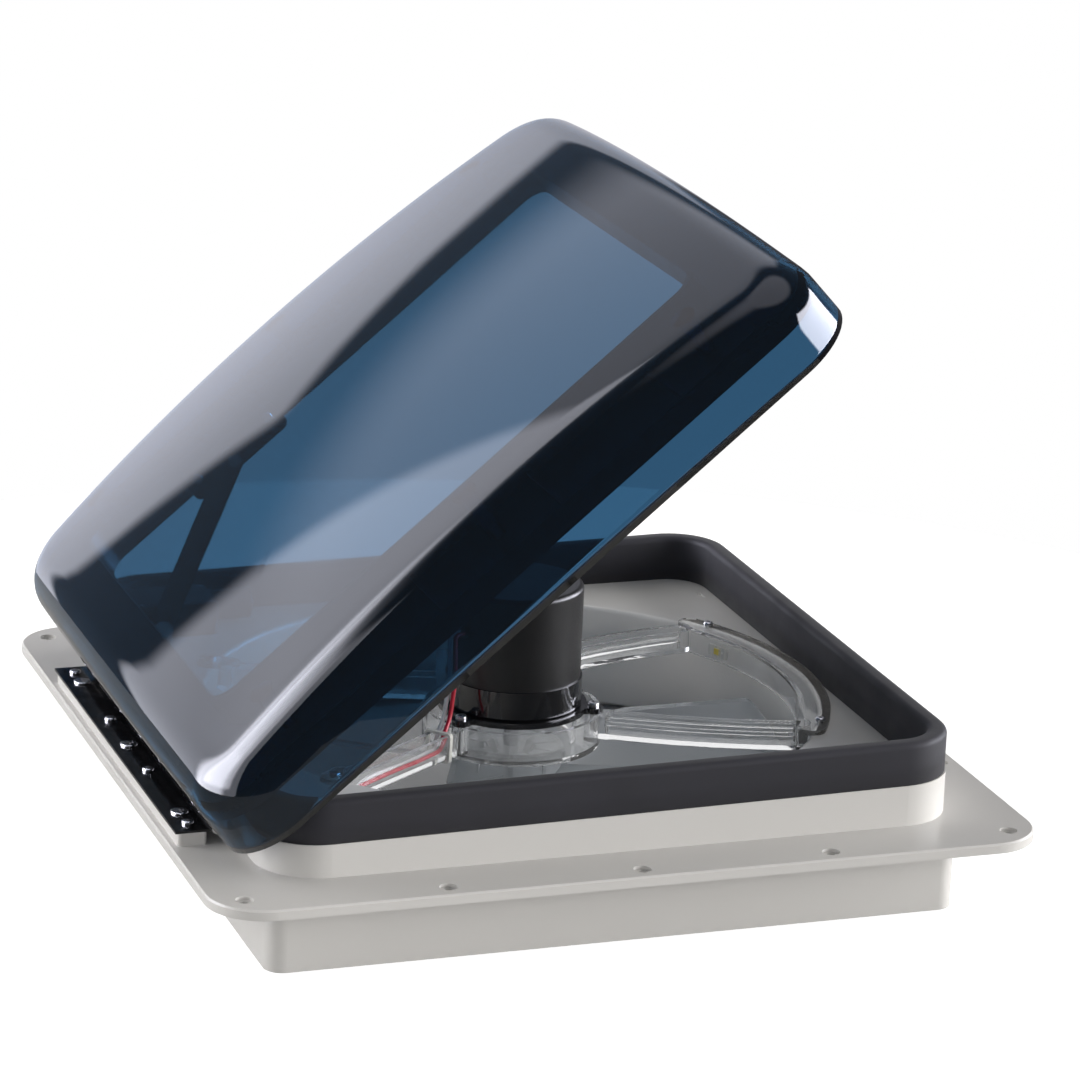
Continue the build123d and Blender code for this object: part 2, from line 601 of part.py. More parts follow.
with BuildPart() as roller_pin:
    with BuildSketch(along_y(ROLLER_X, ARM_FROM_Y, ROLLER_Z)):
        Circle(2)
    extrude(amount=WINDOW_V / 2 - 0.5 - ARM_FROM_Y)
    with BuildSketch(along_y(ROLLER_X, ARM_FROM_Y, ROLLER_Z)):
        Circle(3.4)
    extrude(amount=-1.6)
save(roller_pin.part, "roller_pin")

with BuildPart() as lift_roller:
    with BuildSketch(along_y(ROLLER_X, ARM_FROM_Y + ARM_T + 0.3, ROLLER_Z)):
        Circle(ROLLER_R)
        Circle(2 + RUNNING_FIT, mode=Mode.SUBTRACT)
    extrude(amount=WINDOW_V / 2 - 0.8 - ARM_FROM_Y - ARM_T)
save(lift_roller.part, "lift_roller")

drive_x = (DRIVE_FROM_X + DRIVE_TO_X) / 2
drive_y = (DRIVE_FROM_Y + DRIVE_TO_Y) / 2
drive_length = DRIVE_TO_X - DRIVE_FROM_X
drive_width = DRIVE_TO_Y - DRIVE_FROM_Y
drive_posts = [(x, y) for x in (DRIVE_FROM_X + DRIVE_POST, DRIVE_TO_X - DRIVE_POST)
               for y in (DRIVE_FROM_Y + DRIVE_POST, DRIVE_TO_Y - DRIVE_POST)]

with BuildPart() as lift_drive_case:
    with BuildSketch(Plane.XY.offset(DECK_TOP)):
        with Locations((drive_x, drive_y)):
            RectangleRounded(drive_length, drive_width, 4)
    extrude(amount=DRIVE_SPLIT - DECK_TOP)
    with BuildSketch(Plane.XY.offset(DECK_TOP + 2)):
        with Locations((drive_x, drive_y)):
            RectangleRounded(drive_length - 4, drive_width - 4, 2.5)
        with Locations(*drive_posts):
            Circle(2.6, mode=Mode.SUBTRACT)
    extrude(amount=DRIVE_SPLIT - DECK_TOP - 2, mode=Mode.SUBTRACT)
    with Locations(*[(x, y, DRIVE_SPLIT) for x, y in drive_posts]):
        Hole(1.1, depth=8)
    with BuildSketch(along_y(ARM_PIVOT_X, DRIVE_FROM_Y - 1, ARM_PIVOT_Z)):
        Circle(SHAFT_R + RUNNING_FIT)
    extrude(amount=4, mode=Mode.SUBTRACT)
save(lift_drive_case.part, "lift_drive_case")

with BuildPart() as lift_drive_cover:
    with BuildSketch(Plane.XY.offset(DRIVE_SPLIT)):
        with Locations((drive_x, drive_y)):
            RectangleRounded(drive_length, drive_width, 4)
    extrude(amount=DRIVE_TOP - DRIVE_SPLIT)
    chamfer(lift_drive_cover.faces().sort_by(Axis.Z)[-1].edges(), 0.8)
    with Locations(*[(x, y, DRIVE_TOP) for x, y in drive_posts]):
        CounterBoreHole(1.3, 2.3, 1.5, depth=DRIVE_TOP - DRIVE_SPLIT)
save(lift_drive_cover.part, "lift_drive_cover")
save(placed(pan_screw(2.1, 1.3, 1.05, 6.0, 2.2), [(x, y, DRIVE_TOP - 1.5) for x, y in drive_posts]),
     "lift_drive_screws")

with BuildPart() as lift_gear:
    with BuildSketch(along_y(ARM_PIVOT_X, DRIVE_FROM_Y + 8, ARM_PIVOT_Z)):
        Circle(5)
        with PolarLocations(5.2, 14):
            Rectangle(1.4, 0.9)
        Circle(SHAFT_R + 0.02, mode=Mode.SUBTRACT)
    extrude(amount=8)
save(lift_gear.part, "lift_gear")

with BuildPart() as lift_motor:
    with BuildSketch(Plane(origin=(DRIVE_TO_X, 147, 32), z_dir=(1, 0, 0))):
        Circle(8)
    extrude(amount=22)
    fillet(lift_motor.faces().sort_by(Axis.X)[-1].edges(), 1)
    with BuildSketch(Plane(origin=(DRIVE_TO_X + 22, 147, 32), z_dir=(1, 0, 0))):
        Circle(2.6)
    extrude(amount=1.6)
save(lift_motor.part, "lift_motor")

# ---------------------------------------------------------------- motor bracket and motor

def fan_level(z):
    """Level plane centred on the fan's axis."""
    return Plane.XY.offset(z).move(Location((FAN_X, 0, 0)))


def arc_of(radius, half_angle):
    """Arc about the fan's axis, centred on +X."""
    return ThreePointArc(turned(radius, -half_angle), (radius, 0), turned(radius, half_angle))


def leg_outline(length, bow, width):
    """A leg's outline in its plane: a round-ended slot, straight or bowed to one side."""
    if bow:
        with BuildLine() as middle:
            ThreePointArc((-length / 2, 0), (0, bow), (length / 2, 0))
        return SlotArc(middle.edges()[0], width)
    return SlotCenterToCenter(length, width)


def leg_plane(post_angle, end_angle):
    """Plane of a leg's top edge: its local x runs from the motor ring out to the deck."""
    start = Vector(*turned(LEG_START_R, post_angle, FAN_X), LEG_START_Z)
    end = Vector(*turned(LEG_END_R, end_angle, FAN_X), DECK_TOP + 0.2)
    along = end - start
    across = Vector(-along.Y, along.X, 0)
    return Plane(origin=(start + end) * 0.5, x_dir=along, z_dir=along.cross(across)), along.length


EAR_SPOTS = [turned(EAR_R, angle) for angle in EAR_ANGLES]
PAD_SPOTS = [turned(ARC_SCREW_R, angle) for angle in PAD_ANGLES]
ARC_SPOTS = [turned(ARC_SCREW_R, side * ARC_SCREW_ANGLE) for side in (-1, 1)]
STEP_R = ARC_INNER + 1.6
FLANGE_MID_R = (ARC_INNER + 2.5 + ARC_OUTER) / 2

with BuildLine() as flange_line:
    arc_of(FLANGE_MID_R, ARC_HALF_ANGLE)
with BuildLine() as step_line:
    arc_of(STEP_R, ARC_HALF_ANGLE - 3)

with BuildPart() as motor_bracket:
    with BuildSketch(fan_level(RING_BOTTOM)):
        Circle(RING_OUTER)
        Circle(RING_INNER, mode=Mode.SUBTRACT)
    extrude(amount=MOTOR_RING_BOTTOM - RING_BOTTOM)
    for post_angle, end_angle, bow in LEGS:
        plane, length = leg_plane(post_angle, end_angle)
        with BuildSketch(plane):
            leg_outline(length, bow, LEG_WIDTH)
        extrude(amount=-LEG_HEIGHT)
        if bow:
            with BuildSketch(plane.offset(-LEG_LIP_T)):
                leg_outline(length * 0.86, bow * 0.86 ** 2, LEG_LIP_WIDTH)
            extrude(amount=-LEG_LIP_T)
    # Curved flange on the deck, with a stepped wall below its inner edge
    with BuildSketch(fan_level(DECK_TOP)):
        SlotArc(flange_line.edges()[0], ARC_OUTER - ARC_INNER - 2.5)
        for spot in PAD_SPOTS:
            with Locations(spot, (spot[0] * 0.95, spot[1] * 0.95)):
                Circle(7)
    extrude(amount=ARC_FLANGE_T)
    with BuildSketch(fan_level(DECK_TOP - LEG_HEIGHT + 1)):
        SlotArc(step_line.edges()[0], 3.2)
    extrude(amount=LEG_HEIGHT + ARC_FLANGE_T - 1)
    # Channels in the ring and the legs, open at the top
    with BuildSketch(fan_level(RING_BOTTOM + BRACKET_WALL)):
        Circle(RING_OUTER - BRACKET_WALL)
        Circle(RING_INNER + BRACKET_WALL, mode=Mode.SUBTRACT)
        with Locations(*EAR_SPOTS):
            Circle(4.4, mode=Mode.SUBTRACT)
    extrude(amount=MOTOR_RING_BOTTOM, mode=Mode.SUBTRACT)
    for post_angle, end_angle, bow in LEGS:
        plane, length = leg_plane(post_angle, end_angle)
        with BuildSketch(plane.offset(BRACKET_WALL - LEG_HEIGHT)):
            leg_outline(length - 8, bow, LEG_WIDTH - 2 * BRACKET_WALL)
        extrude(amount=LEG_HEIGHT - BRACKET_WALL, mode=Mode.SUBTRACT)
    with Locations(*[(FAN_X + x, y, MOTOR_RING_BOTTOM) for x, y in EAR_SPOTS]):
        Hole(1.3, depth=12)
    with Locations(*[(FAN_X + x, y, DECK_TOP + ARC_FLANGE_T) for x, y in ARC_SPOTS + PAD_SPOTS]):
        Hole(1.5, depth=ARC_FLANGE_T)
save(motor_bracket.part, "motor_bracket")
save(placed(pan_screw(2.7, 2.0, 1.15, 4.6, 2.8),
            [(FAN_X + x, y, DECK_TOP + ARC_FLANGE_T) for x, y in ARC_SPOTS + PAD_SPOTS]),
     "bracket_screws")

RING_TOP = MOTOR_RING_BOTTOM + MOTOR_RING_T

with BuildPart() as motor_ring:
    with BuildSketch(fan_level(MOTOR_RING_BOTTOM)):
        Circle(MOTOR_RING_R)
        for spot in EAR_SPOTS:
            with Locations(spot):
                Circle(5)
            with Locations((spot[0] * 0.85, spot[1] * 0.85)):
                Circle(6)
        Circle(12, mode=Mode.SUBTRACT)
        with Locations(*EAR_SPOTS):
            Circle(1.6, mode=Mode.SUBTRACT)
    extrude(amount=MOTOR_RING_T)
save(motor_ring.part, "motor_ring")
save(placed(pan_screw(3.0, 2.2, 1.25, 12.0, 3.2),
            [(FAN_X + x, y, RING_TOP) for x, y in EAR_SPOTS]), "motor_screws")

with BuildPart() as motor_end_cap:
    with BuildSketch(fan_level(RING_TOP)):
        Circle(MOTOR_BAND_R)
    extrude(amount=MOTOR_BAND_TOP - RING_TOP)
    with BuildSketch(fan_level(RING_TOP + 8)):
        Circle(MOTOR_R - 2)
    extrude(amount=MOTOR_BAND_TOP - RING_TOP - 8, mode=Mode.SUBTRACT)
    with BuildSketch(fan_level(RING_TOP)):
        Circle(BEARING_R)
    extrude(amount=BEARING_T, mode=Mode.SUBTRACT)
    with BuildSketch(fan_level(RING_TOP)):
        Circle(FAN_SHAFT_R + 1)
    extrude(amount=8, mode=Mode.SUBTRACT)
    fillet(motor_end_cap.faces().sort_by(Axis.Z)[0].edges().sort_by(SortBy.RADIUS)[-1], 1)
save(motor_end_cap.part, "motor_end_cap")

with BuildPart() as motor_can:
    with BuildSketch(fan_level(MOTOR_BAND_TOP)):
        Circle(MOTOR_R)
    extrude(amount=MOTOR_TOP - MOTOR_BAND_TOP)
    fillet(motor_can.faces().sort_by(Axis.Z)[-1].edges(), 2.5)
    with BuildSketch(fan_level(MOTOR_BAND_TOP)):
        Circle(MOTOR_R - 2)
    extrude(amount=MOTOR_TOP - MOTOR_BAND_TOP - 8, mode=Mode.SUBTRACT)
    with BuildSketch(fan_level(MOTOR_TOP - 8)):
        Circle(BEARING_R)
    extrude(amount=BEARING_T, mode=Mode.SUBTRACT)
save(motor_can.part, "motor_can")

with BuildPart() as motor_bearings:
    for level in (RING_TOP, MOTOR_TOP - 8):
        with BuildSketch(fan_level(level)):
            Circle(BEARING_R)
            Circle(FAN_SHAFT_R + RUNNING_FIT, mode=Mode.SUBTRACT)
        extrude(amount=BEARING_T)
save(motor_bearings.part, "motor_bearings")

with BuildPart() as motor_magnets:
    with BuildSketch(fan_level(MOTOR_BAND_TOP + 3)):
        Circle(MOTOR_R - 2)
        Circle(MOTOR_R - 7, mode=Mode.SUBTRACT)
        Rectangle(2 * MOTOR_R, 12, mode=Mode.SUBTRACT)
    extrude(amount=32)
save(motor_magnets.part, "motor_magnets")

with BuildPart() as motor_armature:
    with BuildSketch(fan_level(MOTOR_BAND_TOP + 4)):
        Circle(MOTOR_R - 8)
        with PolarLocations(MOTOR_R - 9, 12):
            Rectangle(6, 2.4, mode=Mode.SUBTRACT)
        Circle(FAN_SHAFT_R, mode=Mode.SUBTRACT)
    extrude(amount=28)
save(motor_armature.part, "motor_armature")

# ---------------------------------------------------------------- fan

with BuildPart() as fan_shaft:
    with BuildSketch(fan_level(NUT_BOTTOM - 1)):
        Circle(FAN_SHAFT_R)
    extrude(amount=MOTOR_TOP - 3 - NUT_BOTTOM)
save(fan_shaft.part, "fan_shaft")

with BuildPart() as blade:
    with BuildSketch(fan_level(BLADE_BOTTOM)):
        with BuildLine():
            root_a = turned(HUB_R - 4, -BLADE_ROOT_ANGLE)
            root_b = turned(HUB_R - 4, BLADE_ROOT_ANGLE)
            tip_a = turned(BLADE_R, -BLADE_TIP_ANGLE)
            tip_b = turned(BLADE_R, BLADE_TIP_ANGLE)
            ThreePointArc(tip_a, (BLADE_R, 0), tip_b)
            ThreePointArc(tip_b, turned(92, BLADE_TIP_ANGLE + 4), root_b)
            ThreePointArc(root_b, (HUB_R - 4, 0), root_a)
            ThreePointArc(root_a, turned(92, -BLADE_TIP_ANGLE - 4), tip_a)
        make_face()
    extrude(amount=BLADE_TOP - BLADE_BOTTOM)
    slab = Plane(origin=(FAN_X, 0, (BLADE_TOP + BLADE_BOTTOM) / 2),
                 x_dir=(1, 0, 0), z_dir=(0, -sin(radians(BLADE_PITCH)), cos(radians(BLADE_PITCH))))
    with BuildSketch(slab):
        Rectangle(2 * BLADE_R + 10, 2 * BLADE_R)
    extrude(amount=BLADE_T / 2, both=True, mode=Mode.INTERSECT)

with BuildPart() as fan_impeller:
    with BuildSketch(fan_level(HUB_BOTTOM)):
        Circle(HUB_R)
    extrude(amount=HUB_TOP - HUB_BOTTOM, taper=12)
    with BuildSketch(fan_level(HUB_BOTTOM)):
        Circle(HUB_R - 3)
        Circle(9, mode=Mode.SUBTRACT)
    extrude(amount=HUB_TOP - HUB_BOTTOM - 3, taper=12, mode=Mode.SUBTRACT)
    with BuildSketch(fan_level(HUB_BOTTOM + 2)):
        with PolarLocations(18, 10):
            Rectangle(22, 1.8)
    extrude(amount=HUB_TOP - HUB_BOTTOM - 4)
    with Locations((FAN_X, 0, 0)):
        with PolarLocations(0, BLADES):
            add(blade.part.moved(Location((-FAN_X, 0, 0))))
    with BuildSketch(fan_level(HUB_BOTTOM)):
        Circle(FAN_SHAFT_R)
    extrude(amount=HUB_TOP - HUB_BOTTOM, mode=Mode.SUBTRACT)
save(fan_impeller.part, "fan_impeller")

with BuildPart() as hub_nut:
    with BuildSketch(fan_level(NUT_BOTTOM)):
        RegularPolygon(7.5, 6)
        Circle(FAN_SHAFT_R, mode=Mode.SUBTRACT)
    extrude(amount=HUB_BOTTOM - NUT_BOTTOM)
save(hub_nut.part, "hub_nut")

# ---------------------------------------------------------------- insect screen

with BuildPart() as screen_frame:
    with BuildSketch(Plane.XY.offset(SCREEN_FROM)):
        RectangleRounded(SCREEN, SCREEN, SCREEN_R)
        with Locations((FAN_X, 0)):
            Circle(SCREEN_OPENING_R, mode=Mode.SUBTRACT)
    extrude(amount=SCREEN_T)
    with BuildSketch(Plane.XY.offset(SCREEN_FROM + SCREEN_T / 2)):
        with Locations((FAN_X, 0)):
            Circle(SCREEN_OPENING_R + 3)
    extrude(amount=SCREEN_T / 2, mode=Mode.SUBTRACT)
save(screen_frame.part, "screen_frame")

with BuildPart() as screen_mesh:
    with BuildSketch(Plane.XY.offset(SCREEN_FROM + SCREEN_T / 2)):
        with Locations((FAN_X, 0)):
            Circle(SCREEN_OPENING_R + 2.8)
    extrude(amount=MESH_T)
save(screen_mesh.part, "screen_mesh")

CLIP_TOP = SCREEN_FROM + SCREEN_T - 0.3
CLIP_BOTTOM = SCREEN_FROM - 0.2 - CLIP_T

with BuildPart() as turn_clip:
    with BuildSketch(Plane.XY.offset(CLIP_BOTTOM)):
        Circle(5)
        with Locations((CLIP_REACH / 2, 0)):
            SlotOverall(CLIP_REACH + 8, 8)
        Circle(1.55, mode=Mode.SUBTRACT)
    extrude(amount=CLIP_T)
    with BuildSketch(Plane.XY.offset(CLIP_BOTTOM)):
        Circle(5)
        Circle(1.55, mode=Mode.SUBTRACT)
    extrude(amount=CLIP_TOP - 0.1 - CLIP_BOTTOM)

for index, (x, y) in enumerate(CLIP_POSTS, start=1):
    inward = 45 + (180 if y > 0 else 0) if x * y > 0 else (-45 if y > 0 else 135)
    with BuildPart() as clip:
        with Locations(Location((x, y, 0), (0, 0, inward))):
            add(turn_clip.part)
    save(clip.part, f"screen_clip_{index}")

clip_seat = Plane(origin=(0, 0, CLIP_BOTTOM), x_dir=(1, 0, 0), z_dir=(0, 0, -1))
save(placed(pan_screw(3.0, 1.8, 1.45, 13.0, 3.0), [(x, -y, 0) for x, y in CLIP_POSTS], clip_seat),
     "screen_clip_screws")

# ---------------------------------------------------------------- wiring and electronics


def wire(points, radii):
    """A round wire along straight runs joined by tangent arcs."""
    with BuildPart() as lead:
        with BuildLine():
            route = FilletPolyline(*points, radius=radii)
        with BuildSketch(Plane(origin=route @ 0, z_dir=route % 0)):
            Circle(WIRE_R)
        sweep()
    print(f"wire length {route.length:.1f} mm, bend radii {radii}")
    return lead.part


leg_top, leg_length = leg_plane(*LEGS[2][:2])


def in_channel(along, across, above_floor):
    """A point inside the wired leg's channel, as a distance along it from the motor."""
    floor = BRACKET_WALL - LEG_HEIGHT
    return leg_top.from_local_coords((along - leg_length / 2, across, floor + above_floor))


GROMMET_ANGLE = 203.0
with BuildPart() as wire_grommet:
    with BuildSketch(Plane(origin=(*turned(MOTOR_R + 0.25, GROMMET_ANGLE, FAN_X), 64),
                           x_dir=(*turned(1, GROMMET_ANGLE + 90), 0),
                           z_dir=(*turned(1, GROMMET_ANGLE), 0))):
        SlotOverall(9, 6)
    extrude(amount=2)
save(wire_grommet.part, "wire_grommet")

WIRE_EXIT = turned(MOTOR_R + 2.3, GROMMET_ANGLE, FAN_X)
for name, shift in (("motor_wire_red", -1), ("motor_wire_white", 1)):
    across = shift * 1.7
    side = Vector(-leg_top.x_dir.Y, leg_top.x_dir.X, 0) * -across
    first = Vector(*WIRE_EXIT, 64) + Vector(*turned(1, GROMMET_ANGLE + 90), 0) * -across
    route = [first, first + Vector(*turned(6, GROMMET_ANGLE), 0),
             Vector(*turned(46, 209, FAN_X), 42) + side,
             Vector(*turned(51.5, 211.5, FAN_X), 24) + side,
             in_channel(16, -across, 2.4), in_channel(36, -across * 0.9, 1.8),
             in_channel(66, -across, 2.2), in_channel(leg_length - 6, -across * 0.8, 1.7)]
    save(wire(route, [3, 12, 16, 8, 20, 30]), name)

TIE_GAP = 0.5
TIE_T = 1.2
TIE_WIDTH = 2.6
with BuildPart() as cable_tie:
    tie_plane = Plane(origin=in_channel(14, 0, LEG_HEIGHT / 2 - BRACKET_WALL), x_dir=(0, 0, 1),
                      z_dir=leg_top.x_dir)
    with BuildSketch(tie_plane):
        RectangleRounded(LEG_HEIGHT + 2 * TIE_GAP + 2 * TIE_T, LEG_WIDTH + 2 * TIE_GAP + 2 * TIE_T, 2)
        RectangleRounded(LEG_HEIGHT + 2 * TIE_GAP, LEG_WIDTH + 2 * TIE_GAP, TIE_T, mode=Mode.SUBTRACT)
    extrude(amount=TIE_WIDTH / 2, both=True)
save(cable_tie.part, "cable_tie")

LAMP_ANGLE = 22.0
LAMP_Z = 18.5
LAMP_BOARD = (14, 6)
LAMP_CHIP = (4, 3)
lamp_outward = turned(1, LAMP_ANGLE)
lamp_face = Plane(origin=(*turned(ARC_INNER - 1.6, LAMP_ANGLE, FAN_X), LAMP_Z),
                  x_dir=(-lamp_outward[1], lamp_outward[0], 0),
                  z_dir=(-lamp_outward[0], -lamp_outward[1], 0))
with BuildPart() as lamp_board:
    with BuildSketch(lamp_face.offset(-1)):
        RectangleRounded(*LAMP_BOARD, 1)
    extrude(amount=1)
    with BuildSketch(lamp_face):
        Rectangle(*LAMP_CHIP)
    extrude(amount=0.8)
save(lamp_board.part, "lamp_board")

box_x = (BOX_FROM + BOX_TO) / 2
box_side = BOX_TO - BOX_FROM

with BuildPart() as control_box:
    with BuildSketch(Plane.XY.offset(BOX_BOTTOM)):
        with Locations((box_x, box_x)):
            RectangleRounded(box_side, box_side, 3)
    extrude(amount=LEDGE_TOP - BOX_BOTTOM)
    with BuildSketch(Plane.XY.offset(BOX_BOTTOM + 1.8)):
        with Locations((box_x, box_x)):
            RectangleRounded(box_side - 3.6, box_side - 3.6, 2)
            with GridLocations(box_side - 7, box_side - 7, 2, 2):
                Circle(2.4, mode=Mode.SUBTRACT)
    extrude(amount=LEDGE_TOP - BOX_BOTTOM, mode=Mode.SUBTRACT)
save(control_box.part, "control_box")

with BuildPart() as control_board:
    with BuildSketch(Plane.XY.offset(BOX_BOTTOM + 5)):
        with Locations((box_x, box_x)):
            Rectangle(box_side - 13, box_side - 5)
    extrude(amount=1.6)
    with BuildSketch(Plane.XY.offset(BOX_BOTTOM + 6.6)):
        with Locations((box_x - 4, box_x - 6)):
            Rectangle(10, 12)
    extrude(amount=5)
    with BuildSketch(Plane.XY.offset(BOX_BOTTOM + 6.6)):
        with Locations((box_x + 5, box_x + 8), (box_x - 6, box_x + 8)):
            Circle(3)
    extrude(amount=8)
save(control_board.part, "control_board")
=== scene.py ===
"""A powered roof vent with a smoked, hinged lid: the looks of its pieces, a studio and a camera."""

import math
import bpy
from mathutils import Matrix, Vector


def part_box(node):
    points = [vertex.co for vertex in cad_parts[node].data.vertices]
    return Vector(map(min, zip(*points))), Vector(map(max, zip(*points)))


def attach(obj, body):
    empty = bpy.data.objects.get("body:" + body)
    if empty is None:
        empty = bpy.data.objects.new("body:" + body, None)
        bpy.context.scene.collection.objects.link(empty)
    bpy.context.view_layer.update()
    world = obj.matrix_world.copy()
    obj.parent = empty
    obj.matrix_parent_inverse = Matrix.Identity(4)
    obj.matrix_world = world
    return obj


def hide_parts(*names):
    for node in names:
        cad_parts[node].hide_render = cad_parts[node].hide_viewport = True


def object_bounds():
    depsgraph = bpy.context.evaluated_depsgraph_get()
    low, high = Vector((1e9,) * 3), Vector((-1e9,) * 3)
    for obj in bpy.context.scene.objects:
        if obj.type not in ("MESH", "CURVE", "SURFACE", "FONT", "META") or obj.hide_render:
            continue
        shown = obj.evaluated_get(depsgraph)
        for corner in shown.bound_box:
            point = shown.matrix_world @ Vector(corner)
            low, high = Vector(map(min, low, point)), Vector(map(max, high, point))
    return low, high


bl_info = {
    "name": "Roof Vent Looks",
    "version": (1, 0, 0),
    "blender": (4, 5, 0),
    "location": "3D View > Sidebar > Roof Vent",
    "description": "Makes the moulded lid and seal of a roof vent and gives every piece its finish",
    "category": "Object",
}

import bpy
import numpy as np
from bpy.props import FloatProperty, FloatVectorProperty, PointerProperty
from mathutils import Matrix, Vector

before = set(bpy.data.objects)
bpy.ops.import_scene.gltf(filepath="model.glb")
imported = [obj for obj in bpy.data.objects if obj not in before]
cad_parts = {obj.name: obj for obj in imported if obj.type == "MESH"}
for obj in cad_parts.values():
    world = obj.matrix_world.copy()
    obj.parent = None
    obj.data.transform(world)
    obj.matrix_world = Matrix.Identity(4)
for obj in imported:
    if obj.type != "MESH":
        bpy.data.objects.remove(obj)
CAD_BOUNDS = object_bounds()

MM = 0.001
FULL_TURN = 2 * math.pi
QUARTER_TURN = math.pi / 2


# ------------------------------------------------------------------ shader maths

class Field:
    """One socket of a material's node tree. An operator on it adds the Math node it stands for."""

    def __init__(self, maker, socket):
        self.maker = maker
        self.socket = socket

    def math(self, operation, *values):
        return self.maker.add("ShaderNodeMath", {"operation": operation}, dict(enumerate(values)))

    def __add__(self, other):
        return self.math("ADD", self, other)

    def __sub__(self, other):
        return self.math("SUBTRACT", self, other)

    def __mul__(self, other):
        return self.math("MULTIPLY", self, other)

    def __radd__(self, other):
        return self.math("ADD", other, self)

    def __rsub__(self, other):
        return self.math("SUBTRACT", other, self)

    def __rmul__(self, other):
        return self.math("MULTIPLY", other, self)

    def __gt__(self, other):
        return self.math("GREATER_THAN", self, other)

    def __lt__(self, other):
        return self.math("LESS_THAN", self, other)

    def fraction(self):
        return self.math("FRACT", self)

    def size(self):
        return self.math("ABSOLUTE", self)

    def most(self, other):
        return self.math("MAXIMUM", self, other)

    def ramp(self, low, high, start=0.0, end=1.0):
        """The value eased from start to end while this one goes from low to high."""
        settings = {"interpolation_type": "SMOOTHSTEP"}
        values = {"Value": self, "From Min": low, "From Max": high, "To Min": start, "To Max": end}
        return self.maker.add("ShaderNodeMapRange", settings, values)


class Tree:
    """A node tree and the one way that this file adds a node to it."""

    def __init__(self, owner):
        owner.use_nodes = True
        self.tree = owner.node_tree

    def feed(self, socket, value):
        if isinstance(value, Field):
            self.tree.links.new(value.socket, socket)
        elif hasattr(socket.default_value, "__len__") and len(socket.default_value) == 4:
            socket.default_value = (*value[:3], 1.0)
        else:
            socket.default_value = value

    def add(self, kind, settings=None, values=None, output=0):
        """Adds a node, makes its settings, feeds its sockets and returns one of its outputs."""
        node = self.tree.nodes.new(kind)
        for name, value in (settings or {}).items():
            setattr(node, name, value)
        for name, value in (values or {}).items():
            self.feed(node.inputs[name], value)
        return Field(self, node.outputs[output])

    def blend(self, factor, first, second):
        """A colour between two colours."""
        settings = {"data_type": "RGBA"}
        return self.add("ShaderNodeMix", settings, {0: factor, 6: first, 7: second}, output=2)

    def place(self):
        """The point's place on the object, in metres."""
        return self.add("ShaderNodeTexCoord", output=3)

    def axes(self, vector):
        """The x, y and z of a vector."""
        split = self.add("ShaderNodeSeparateXYZ", values={0: vector}).socket.node
        return [Field(self, socket) for socket in split.outputs]

    def noise(self, scale, detail=2.0, roughness=0.5, stretch=(1, 1, 1)):
        """Cloudy noise from 0 to 1, with scale features to the metre."""
        place = self.add("ShaderNodeMapping", values={0: self.place(), 3: stretch})
        values = {"Vector": place, "Scale": scale, "Detail": detail, "Roughness": roughness}
        return self.add("ShaderNodeTexNoise", values=values)

    def bump(self, height, strength, distance):
        values = {"Strength": strength, "Distance": distance, "Height": height}
        return self.add("ShaderNodeBump", values=values)


class Finish(Tree):
    """A material with one Principled shader, set by the names of its sockets."""

    def __init__(self, name, **sockets):
        self.material = bpy.data.materials.new(name)
        super().__init__(self.material)
        self.shader = self.tree.nodes["Principled BSDF"]
        self.set(**sockets)

    def set(self, **sockets):
        for name, value in sockets.items():
            title = name.replace("_", " ").title().replace("Ior", "IOR")
            self.feed(self.shader.inputs[title], value)

    def on(self, *nodes):
        """Gives the finish to CAD nodes."""
        for node in nodes:
            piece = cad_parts[node]
            piece.data.materials.clear()
            piece.data.materials.append(self.material)
            for slot in piece.material_slots:
                slot.material = self.material


# ------------------------------------------------------------------ finishes

def light_path(tree, kind):
    """1 for light of the kind, 0 for any other."""
    path = tree.add("ShaderNodeLightPath").socket.node
    return Field(tree, path.outputs[kind])


def seen_straight(tree):
    """1 for what is seen straight or through a clear piece, 0 for light that falls on a face."""
    return light_path(tree, "Is Camera Ray").most(light_path(tree, "Is Transmission Ray"))


def lit_through(tree, share):
    """Alpha of a clear piece that lets a share of the light fall on what lies behind it."""
    return 1 - light_path(tree, "Is Shadow Ray") * share


def moulded(name, colour, roughness, grain=0.0, mottling=0.04, coat=0.0):
    """Injection-moulded plastic: a faint flow mottling, a fine spark-eroded grain and handling haze."""
    finish = Finish(name, specular_ior_level=0.5, coat_weight=coat, coat_roughness=0.08)
    flow = finish.noise(9.0, 3.0)
    haze = finish.noise(38.0, 4.0, 0.6)
    pale = [min(1.0, part * (1 + mottling)) for part in colour]
    dark = [part * (1 - mottling) for part in colour]
    finish.set(base_color=finish.blend(flow, dark, pale),
               roughness=haze.ramp(0.3, 0.7, roughness - 0.04, roughness + 0.05))
    if grain:
        height = finish.noise(1500.0, 2.0, 0.6)
        finish.set(normal=finish.bump(height, grain, 0.0001))
    return finish


def machined(name, colour, roughness, scratch=0.15):
    """Bright plated steel with fine turning marks and a little uneven shine."""
    finish = Finish(name, metallic=1.0)
    marks = finish.noise(900.0, 3.0, 0.6, stretch=(1, 1, 6))
    cloud = finish.noise(60.0, 2.0)
    finish.set(base_color=finish.blend(cloud, [part * 0.88 for part in colour], colour),
               roughness=marks.ramp(0.3, 0.7, roughness, roughness + 0.12),
               normal=finish.bump(marks, scratch, 0.00005))
    return finish


